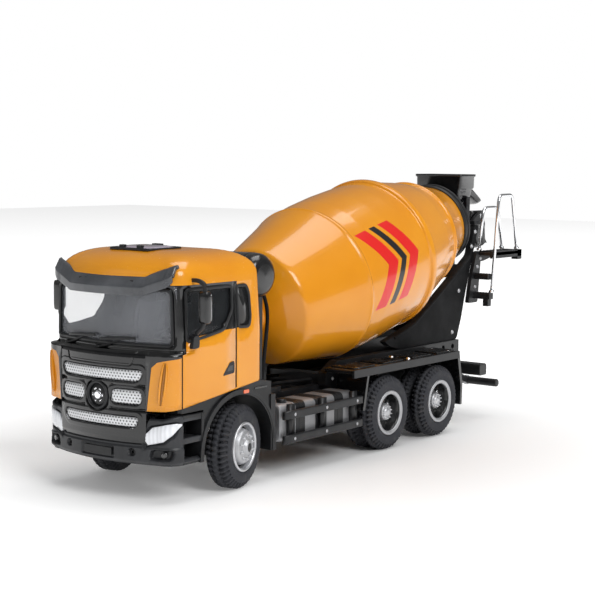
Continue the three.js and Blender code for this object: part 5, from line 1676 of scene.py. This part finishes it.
class MIXER_OT_hopper(bpy.types.Operator):
    """The hopper: square rings blended down to its spout, with a rolled rim and legs"""

    bl_idname = "mixer.hopper"
    bl_label = "Hopper"

    def execute(self, context):
        rows = [
            (84.95, 9.6, 71.4, 82.0), (84.2, 9.6, 71.4, 82.0), (84.0, 9.2, 71.6, 81.8),
            (80.3, 9.1, 71.6, 81.8),
            (79.4, 8.2, 71.8, 81.7), (78.0, 7.9, 72.2, 81.6), (76.4, 7.6, 73.4, 81.2),
            (75.0, 6.6, 74.5, 78.2),
        ]
        rings = []
        for z, half, y0, y1 in rows:
            line = rounded([[-half, y0], [half, y0], [half, y1], [-half, y1]], 1.3, 5)
            rings.append(np.column_stack([line, np.full(len(line), z)]))
        bowl = grid(np.stack(rings), (False, True))
        finish("hopper_bowl", "chassis", [(bowl, "gloss_black")], wall=0.9, replaces=["hopper"])
        rim_line = oblong((-9.1, 9.1), (71.95, 81.5), 1.2, 6)
        rim = swept(oblong((-0.5, 0.5), (-0.35, 0.35), 0.25, 3),
                    np.column_stack([rim_line, np.full(len(rim_line), 84.62)]), True)
        parts = [(rim, "trim")]
        t = np.linspace(0, 1, 14)[:, None]
        u = np.linspace(-1, 1, 17)[None, :]
        y = 81.4 + 10.4 * t + 0 * u
        floor = 77.0 - 3.0 * t**1.6
        z = floor + 3.9 * (1 - 0.62 * t) * np.abs(u) ** 4
        x = u * (6.3 - 0.5 * t)
        spout = grid(np.stack([x + 0 * t, y, z], -1))
        finish("hopper_spout", "chassis", [(spout, "gloss_black")], wall=-0.8)
        parts += pair(block((7.0, 8.6), (77, 79.4), (67.5, 77)), "black")
        parts += pair(block((7.0, 12.4), (76.4, 79.4), (67.45, 68.8)), "black")
        hinge = moved(
            turned([[0.01, -6.6], [0.55, -6.6], [0.55, 6.6], [0.01, 6.6]], 20), (0, 82.5, 80.2), OUTWARD
        )
        parts.append((hinge, "silver"))
        finish("hopper_rim", "chassis", parts, bevel=0.14)
        self.swivel()
        self.chute()
        return {"FINISHED"}

    def swivel(self):
        """Post, collar and yoke of the chute: the yoke's arms are outlines in the side view."""
        pin = turned([[0.01, 56.9], [1.0, 56.9], [1.1, 57.1], [1.1, 65.9], [0.01, 65.9]], 32)
        nut = turned([[0.01, 56.05], [1.7, 56.05], [1.95, 56.3], [1.95, 57.2], [0.01, 57.2]], 6)
        arm = np.vstack(
            [[[81.05, 64.45], [84.5, 64.45]], arc((90.4, 70), 1.6, -60, 105, 12), [[81.05, 66.35]]]
        )
        cross = oblong((81.05, 84.2), (64.45, 66.35), 0.4, 3)
        bolt = turned(
            rounded([[0.01, 0.3], [0.6, 0.28], [0.85, 0.0], [0.85, -0.9], [0.01, -0.9]], 0.1, 2, False), 16
        )
        bolt = moved(bolt, (6.75, 90.4, 70), OUTWARD)
        parts = [
            (moved(pin, (0, 82.6, 0)), "silver"), (moved(nut, (0, 82.6, 0)), "silver"),
            (along_x(prism(cross, -6.6, 6.6)), "black")
        ]
        parts += pair(along_x(prism(arm, 5.5, 6.7)), "black") + pair(bolt, "silver")
        finish("chute_yoke", "chute_swivel", parts, bevel=0.18, replaces=["chute_swivel"])

    def chute(self):
        """A trough: a half-round section carried down a bent line, open at the top and the rear."""
        t = np.linspace(0, 1, 26)[:, None]
        section = rounded([[-5.1, 1.0], [-5.1, 0.0], [5.1, 0.0], [5.1, 1.0]], 2.4, 7, False)
        reach = section[None, :, 1] - section[0, 1] + 1.0
        back_y = np.interp(t, [0, 0.35, 0.75, 1], [87.5, 87.1, 90.0, 91.4])
        back_z = np.interp(t, [0, 0.35, 0.75, 1], [71.9, 65.6, 58.8, 58.3])
        depth = np.interp(t, [0, 0.3, 0.75, 1], [6.4, 9.2, 6.6, 4.6])
        points = np.stack(
            [section[None, :, 0] + 0 * t, back_y + depth * reach, back_z + 2.2 * t**2 * reach], -1
        )
        trough = grid(points)
        finish("chute_trough", "chute", [(trough, "gloss_black")], wall=0.8, replaces=["chute"])


# ------------------------------------------------------------------ rear
class MIXER_OT_rear(bpy.types.Operator):
    """Ladder with platform, plated handrails, tail step with lamps, underrun bar"""

    bl_idname = "mixer.rear"
    bl_label = "Ladder, rails and tail"

    def execute(self, context):
        post = rounded([[70.4, 40.5], [76.6, 40.5], [78.5, 57], [78.5, 58.3], [75.5, 58.3], [72, 48]], 0.8, 3)
        brace = rounded([[77, 54.7], [80, 54.7], [92, 57], [77, 57]], 0.5, 3)
        deck = oblong((12.5, 19.6), (77, 97.45), 0.7, 4)
        bars = [block((13.2, 19.0), (y, y + 0.9), (57.9, 58.38)) for y in np.arange(78.6, 96, 2.3)]
        parts = [(along_x(prism(post, 12.55, 14)), "black"), (along_x(prism(brace, 12.6, 13.9)), "black")]
        parts += [
            (prism(deck, 56.9, 58.0), "black"), (block((18.4, 19.6), (77.1, 97.4), (55.9, 58.35)), "black")
        ]
        parts += [(block((17.2, 19.6), (94.5, 97.45), (54.9, 58.3)), "black")] + [(b, "trim") for b in bars]
        for low, high, reach in ((41.9, 44.1, 0.75), (48.7, 50.7, 0.0)):
            rung = rounded([[73.7, low], [76.3, low], [76.3, high], [73.7, high]], 0.4, 3)
            parts.append((along_x(prism(rung, 13.0, 19.6 + reach)), "black"))
            grips = [
                block((x0, x0 + 0.5), (73.9, 76.1), (high - 0.1, high + 0.08))
                for x0 in np.arange(14.3, 19.2, 1.1)
            ]
            parts += [(g, "trim") for g in grips]
        parts.append((block((17.7, 19.7), (73.9, 76.1), (39.5, 42)), "black"))
        screw = moved(turned(rounded([[0.01, 0.4], [0.5, 0.35], [0.7, 0.0]], 0.1, 2, False), 16), by=OUTWARD)
        parts.append((copies(screw, [(13.95, 74.6, 46), (13.95, 76.0, 53), (13.95, 78, 55.8)]), "silver"))
        finish("ladder_body", "chassis", parts, bevel=0.16, replaces=["ladder"])
        self.handrails()
        self.tail()
        return {"FINISHED"}

    def handrails(self):
        """Bright wire bent along four points, with a small ferrule on each end."""
        inner = [[13.3, 78.2, 58.5], [13.3, 80.8, 73.3], [13.3, 90.8, 73.3], [13.3, 94, 58.5]]
        outer = [[20.3, 75.2, 44.3], [20.3, 79.2, 77.8], [18.5, 91.6, 77.8], [18.5, 95.6, 58.5]]
        for name, line in (("inner", inner), ("outer", outer)):
            path = rounded(line, 2.6, 8, False)
            parts = [(swept(circle(0.55, 14), path, up=(1, 0, 0)), "plated")]
            cup = turned(
                rounded([[0.56, 0], [0.95, 0], [0.95, 0.55], [0.75, 0.8], [0.56, 0.8]], 0.12, 2), 24, True
            )
            parts += [(moved(cup, end), "plated") for end in (line[0], line[-1])]
            finish("handrail_" + name + "_wire", "chassis", parts, replaces=["handrail_" + name])

    def tail(self):
        """A beam with a treaded top, lamps in a ribbed tray, and a round bar on two bent brackets."""
        beam = oblong((68.5, 73.0), (15.85, 19.5), 0.5, 3)
        top = oblong((-20.1, 20.1), (68.6, 72.9), 0.5, 3)
        parts = [(along_x(prism(beam, -20.2, 20.2)), "black"), (prism(top, 19.3, 19.75), "treadplate")]
        lamp_box = oblong((-3.1, 3.1), (-1.3, 1.3), 0.5, 4)
        for side in (-1, 1):
            at = (side * 16.3, 73.0, 17.7)
            parts.append((moved(prism(lamp_box, 0, 0.5), at, REARWARD), "black"))
            for shift, look in ((-1.6, "red_lens"), (0.35, "amber"), (1.9, "headlight")):
                glass = oblong((-0.85, 0.85), (-0.85, 0.85), 0.3, 4)
                spot = (at[0] + side * shift, 73.4, at[2])
                parts.append((moved(prism(glass, 0, 0.45), spot, REARWARD), look))
        finish("tail_step_body", "chassis", parts, bevel=0.14, replaces=["tail_step"])
        ends = rounded(
            [[0.01, -20.4], [1.2, -20.4], [1.35, -20.2], [1.35, 20.2], [1.2, 20.4], [0.01, 20.4]], 0.12, 2,
            False
        )
        bar = moved(turned(ends, 32), (0, 80.4, 12), OUTWARD)
        bracket = rounded(
            [[68.85, 12.7], [68.85, 15.65], [73.0, 15.65], [80.4, 13.0], [80.4, 11.0], [74, 12.6]], 0.6, 3
        )
        clamp = moved(turned(oblong((1.3, 1.7), (-0.6, 0.6), 0.12, 2), 32, True), (8, 80.4, 12), OUTWARD)
        parts = [(bar, "trim")] + pair(along_x(prism(bracket, 7.05, 8.95)), "black")
        parts += pair(clamp, "silver")
        finish("underrun_bar_body", "chassis", parts, bevel=0.12, replaces=["underrun_bar"])


class MIXER_OT_chassis(bpy.types.Operator):
    """Finishes on the pieces that stay as packed, and the rivets, bolts and hoses that ride on them"""

    bl_idname = "mixer.chassis"
    bl_label = "Chassis"

    def execute(self, context):
        looks = {
            "rear_axle": "silver", "knuckle": "dull", "tie_rod": "silver", "front_axle": "dull",
            "chassis": "black", "subframe": "black"
        }
        for name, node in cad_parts.items():
            look = next((look for start, look in looks.items() if name.startswith(start)), "dull")
            node.data.materials.clear()
            node.data.materials.append(finish_of(look))
            soften(node, 0.18)
        rivet = turned(rounded([[0.01, 0.38], [0.35, 0.34], [0.6, 0.0]], 0.1, 3, False), 14)
        spots = [(13.0, y, z) for y in np.arange(-8.5, 47, 6.2) for z in (23.0, 26.4)]
        parts = pair(copies(moved(rivet, by=OUTWARD), spots), "silver")
        rails = [(10.0, y, 18.1) for y in (-76, -70, -24, -18, -5, 12, 18, 25, 47, 55, 62)]
        bolt = turned([[0.01, 0.45], [0.4, 0.45], [0.5, 0.32], [0.55, 0.0]], 6)
        parts += pair(copies(moved(bolt, by=OUTWARD), rails), "silver")
        finish("frame_fixings", "chassis", parts)
        line = np.array(
            [
                [9.0, -50, 24.2], [9.0, -42, 23.4], [7.6, -30, 23.6], [6.4, -10, 22.4], [6.0, 20, 22.2],
                [6.0, 48, 22.6]
            ]
        )
        hose = swept(circle(0.5, 10), rounded(line, 4, 6, False))
        finish("frame_lines", "chassis", pair(hose, "dull"))
        return {"FINISHED"}


# ------------------------------------------------------------------ stage, in metres and degrees
FLOOR_HALF = 1.6
PAINTED_FLOOR_GLOW = (30, 170)  # painted light: the floor's glow rises to full between these millimetres from the middle
LAMP_TARGET = np.array([0, 0, 0.04])
LAMPS = (  # name, place, width, power in watts
    ("key", (1.53, -0.45, 1.3), 0.9, 22.5),
    ("fill", (-0.9, -1.5, 0.8), 1.0, 1.2),
    ("top", (0.2, 0.4, 1.85), 1.3, 18.0),
)
CAMERA_AT = (0.2792, -0.37907, 0.0911)
CAMERA_TURNS = (37.07, 5.506, 0.471)  # heading, drop and roll
SENSOR_WIDTH = 36.0
LENS = 90.02


class MIXER_OT_stage(bpy.types.Operator):
    """Pale floor with a painted glow that whitens it away from the truck, soft studio light and the camera"""

    bl_idname = "mixer.stage"
    bl_label = "Stage"

    def execute(self, context):
        scene = context.scene
        u = np.linspace(-FLOOR_HALF, FLOOR_HALF, 3)
        points = np.stack([np.repeat(u[:, None], 3, 1), np.repeat(u[None], 3, 0), np.zeros((3, 3))], -1)
        mesh = bpy.data.meshes.new("floor")
        flat, quads, _ = grid(points)
        mesh.from_pydata(flat.tolist(), [], quads.tolist())
        floor = bpy.data.objects.new("floor", mesh)
        scene.collection.objects.link(floor)
        look = Finish("floor_white_painted_glow", Roughness=0.42, Specular_IOR_Level=0.3, Emission_Strength=1.0)
        x, y, _ = look.axes()
        # painted light: an emission that whitens the floor more the farther it lies from the truck
        far = ((x * x + y * y) ** 0.5).between(*PAINTED_FLOOR_GLOW)
        look.feed(
            Base_Color=look.mix(look.noise(300, 2), (0.93, 0.93, 0.93), (0.9, 0.9, 0.9)),
            Emission_Color=look.mix(far, (0.0, 0.0, 0.0), (0.56, 0.56, 0.56)),
        )
        mesh.materials.append(look.material)
        world = bpy.data.worlds.new("studio")
        world.use_nodes = True
        tree = world.node_tree
        sky = tree.nodes["Background"]
        sky.inputs["Color"].default_value = (1.0, 1.0, 1.0, 1.0)
        seen = Value(tree, tree.nodes.new("ShaderNodeLightPath").outputs["Is Camera Ray"])
        plug(tree, sky.inputs["Strength"], WORLD_LIGHT + (1.0 - WORLD_LIGHT) * seen)
        scene.world = world
        scene.view_settings.view_transform = "Standard"
        for name, at, wide, power in LAMPS:
            light = bpy.data.lights.new(name, "AREA")
            light.shape = "SQUARE"
            light.size = wide
            light.energy = power
            lamp = bpy.data.objects.new(name, light)
            lamp.matrix_world = self.looking(np.array(at), LAMP_TARGET - np.array(at))
            scene.collection.objects.link(lamp)
        heading, drop, roll = np.radians(CAMERA_TURNS)
        ahead = np.array(
            [-math.sin(heading) * math.cos(drop), math.cos(heading) * math.cos(drop), -math.sin(drop)]
        )
        data = bpy.data.cameras.new("camera")
        data.sensor_width = SENSOR_WIDTH
        data.lens = LENS
        data.clip_start = 0.01
        camera = bpy.data.objects.new("camera", data)
        camera.matrix_world = self.looking(np.array(CAMERA_AT), ahead, roll)
        scene.collection.objects.link(camera)
        scene.camera = camera
        return {"FINISHED"}

    @staticmethod
    def looking(at, ahead, roll=0.0):
        """The matrix of a camera or lamp at a point, looking along a direction, turned by roll about it."""
        ahead = ahead / np.linalg.norm(ahead)
        right = np.cross(ahead, (0, 0, 1))
        right /= np.linalg.norm(right)
        up = np.cross(right, ahead)
        across = right * math.cos(roll) + up * math.sin(roll)
        over = up * math.cos(roll) - right * math.sin(roll)
        made = np.eye(4)
        made[:3, 0], made[:3, 1], made[:3, 2], made[:3, 3] = across, over, -ahead, at
        return Matrix(made.tolist())


STEPS = (
    MIXER_OT_chassis,
    MIXER_OT_drum,
    MIXER_OT_front_wheels,
    MIXER_OT_rear_wheels,
    MIXER_OT_cab,
    MIXER_OT_cabin,
    MIXER_OT_front,
    MIXER_OT_bumper,
    MIXER_OT_roof,
    MIXER_OT_lower,
    MIXER_OT_stands,
    MIXER_OT_hopper,
    MIXER_OT_rear,
    MIXER_OT_stage,
)


class MIXER_PT_panel(bpy.types.Panel):
    """Settings and one button for each group of pieces"""

    bl_label = "Mixer Truck"
    bl_idname = "MIXER_PT_panel"
    bl_space_type = "VIEW_3D"
    bl_region_type = "UI"
    bl_category = "Mixer Truck"

    def draw(self, context):
        layout = self.layout
        for group in (context.scene.mixer_colours, context.scene.mixer_sizes):
            for key in group.__annotations__:
                layout.prop(group, key)
        for step in STEPS:
            layout.operator(step.bl_idname)


CLASSES = (MixerColours, MixerSizes, *STEPS, MIXER_PT_panel)


def register():
    for item in CLASSES:
        bpy.utils.register_class(item)
    bpy.types.Scene.mixer_colours = bpy.props.PointerProperty(type=MixerColours)
    bpy.types.Scene.mixer_sizes = bpy.props.PointerProperty(type=MixerSizes)


def unregister():
    del bpy.types.Scene.mixer_sizes
    del bpy.types.Scene.mixer_colours
    for item in reversed(CLASSES):
        bpy.utils.unregister_class(item)


def main():
    register()
    for step in STEPS:
        group, name = step.bl_idname.split(".")
        getattr(getattr(bpy.ops, group), name)()


if __name__ == "__main__":
    main()
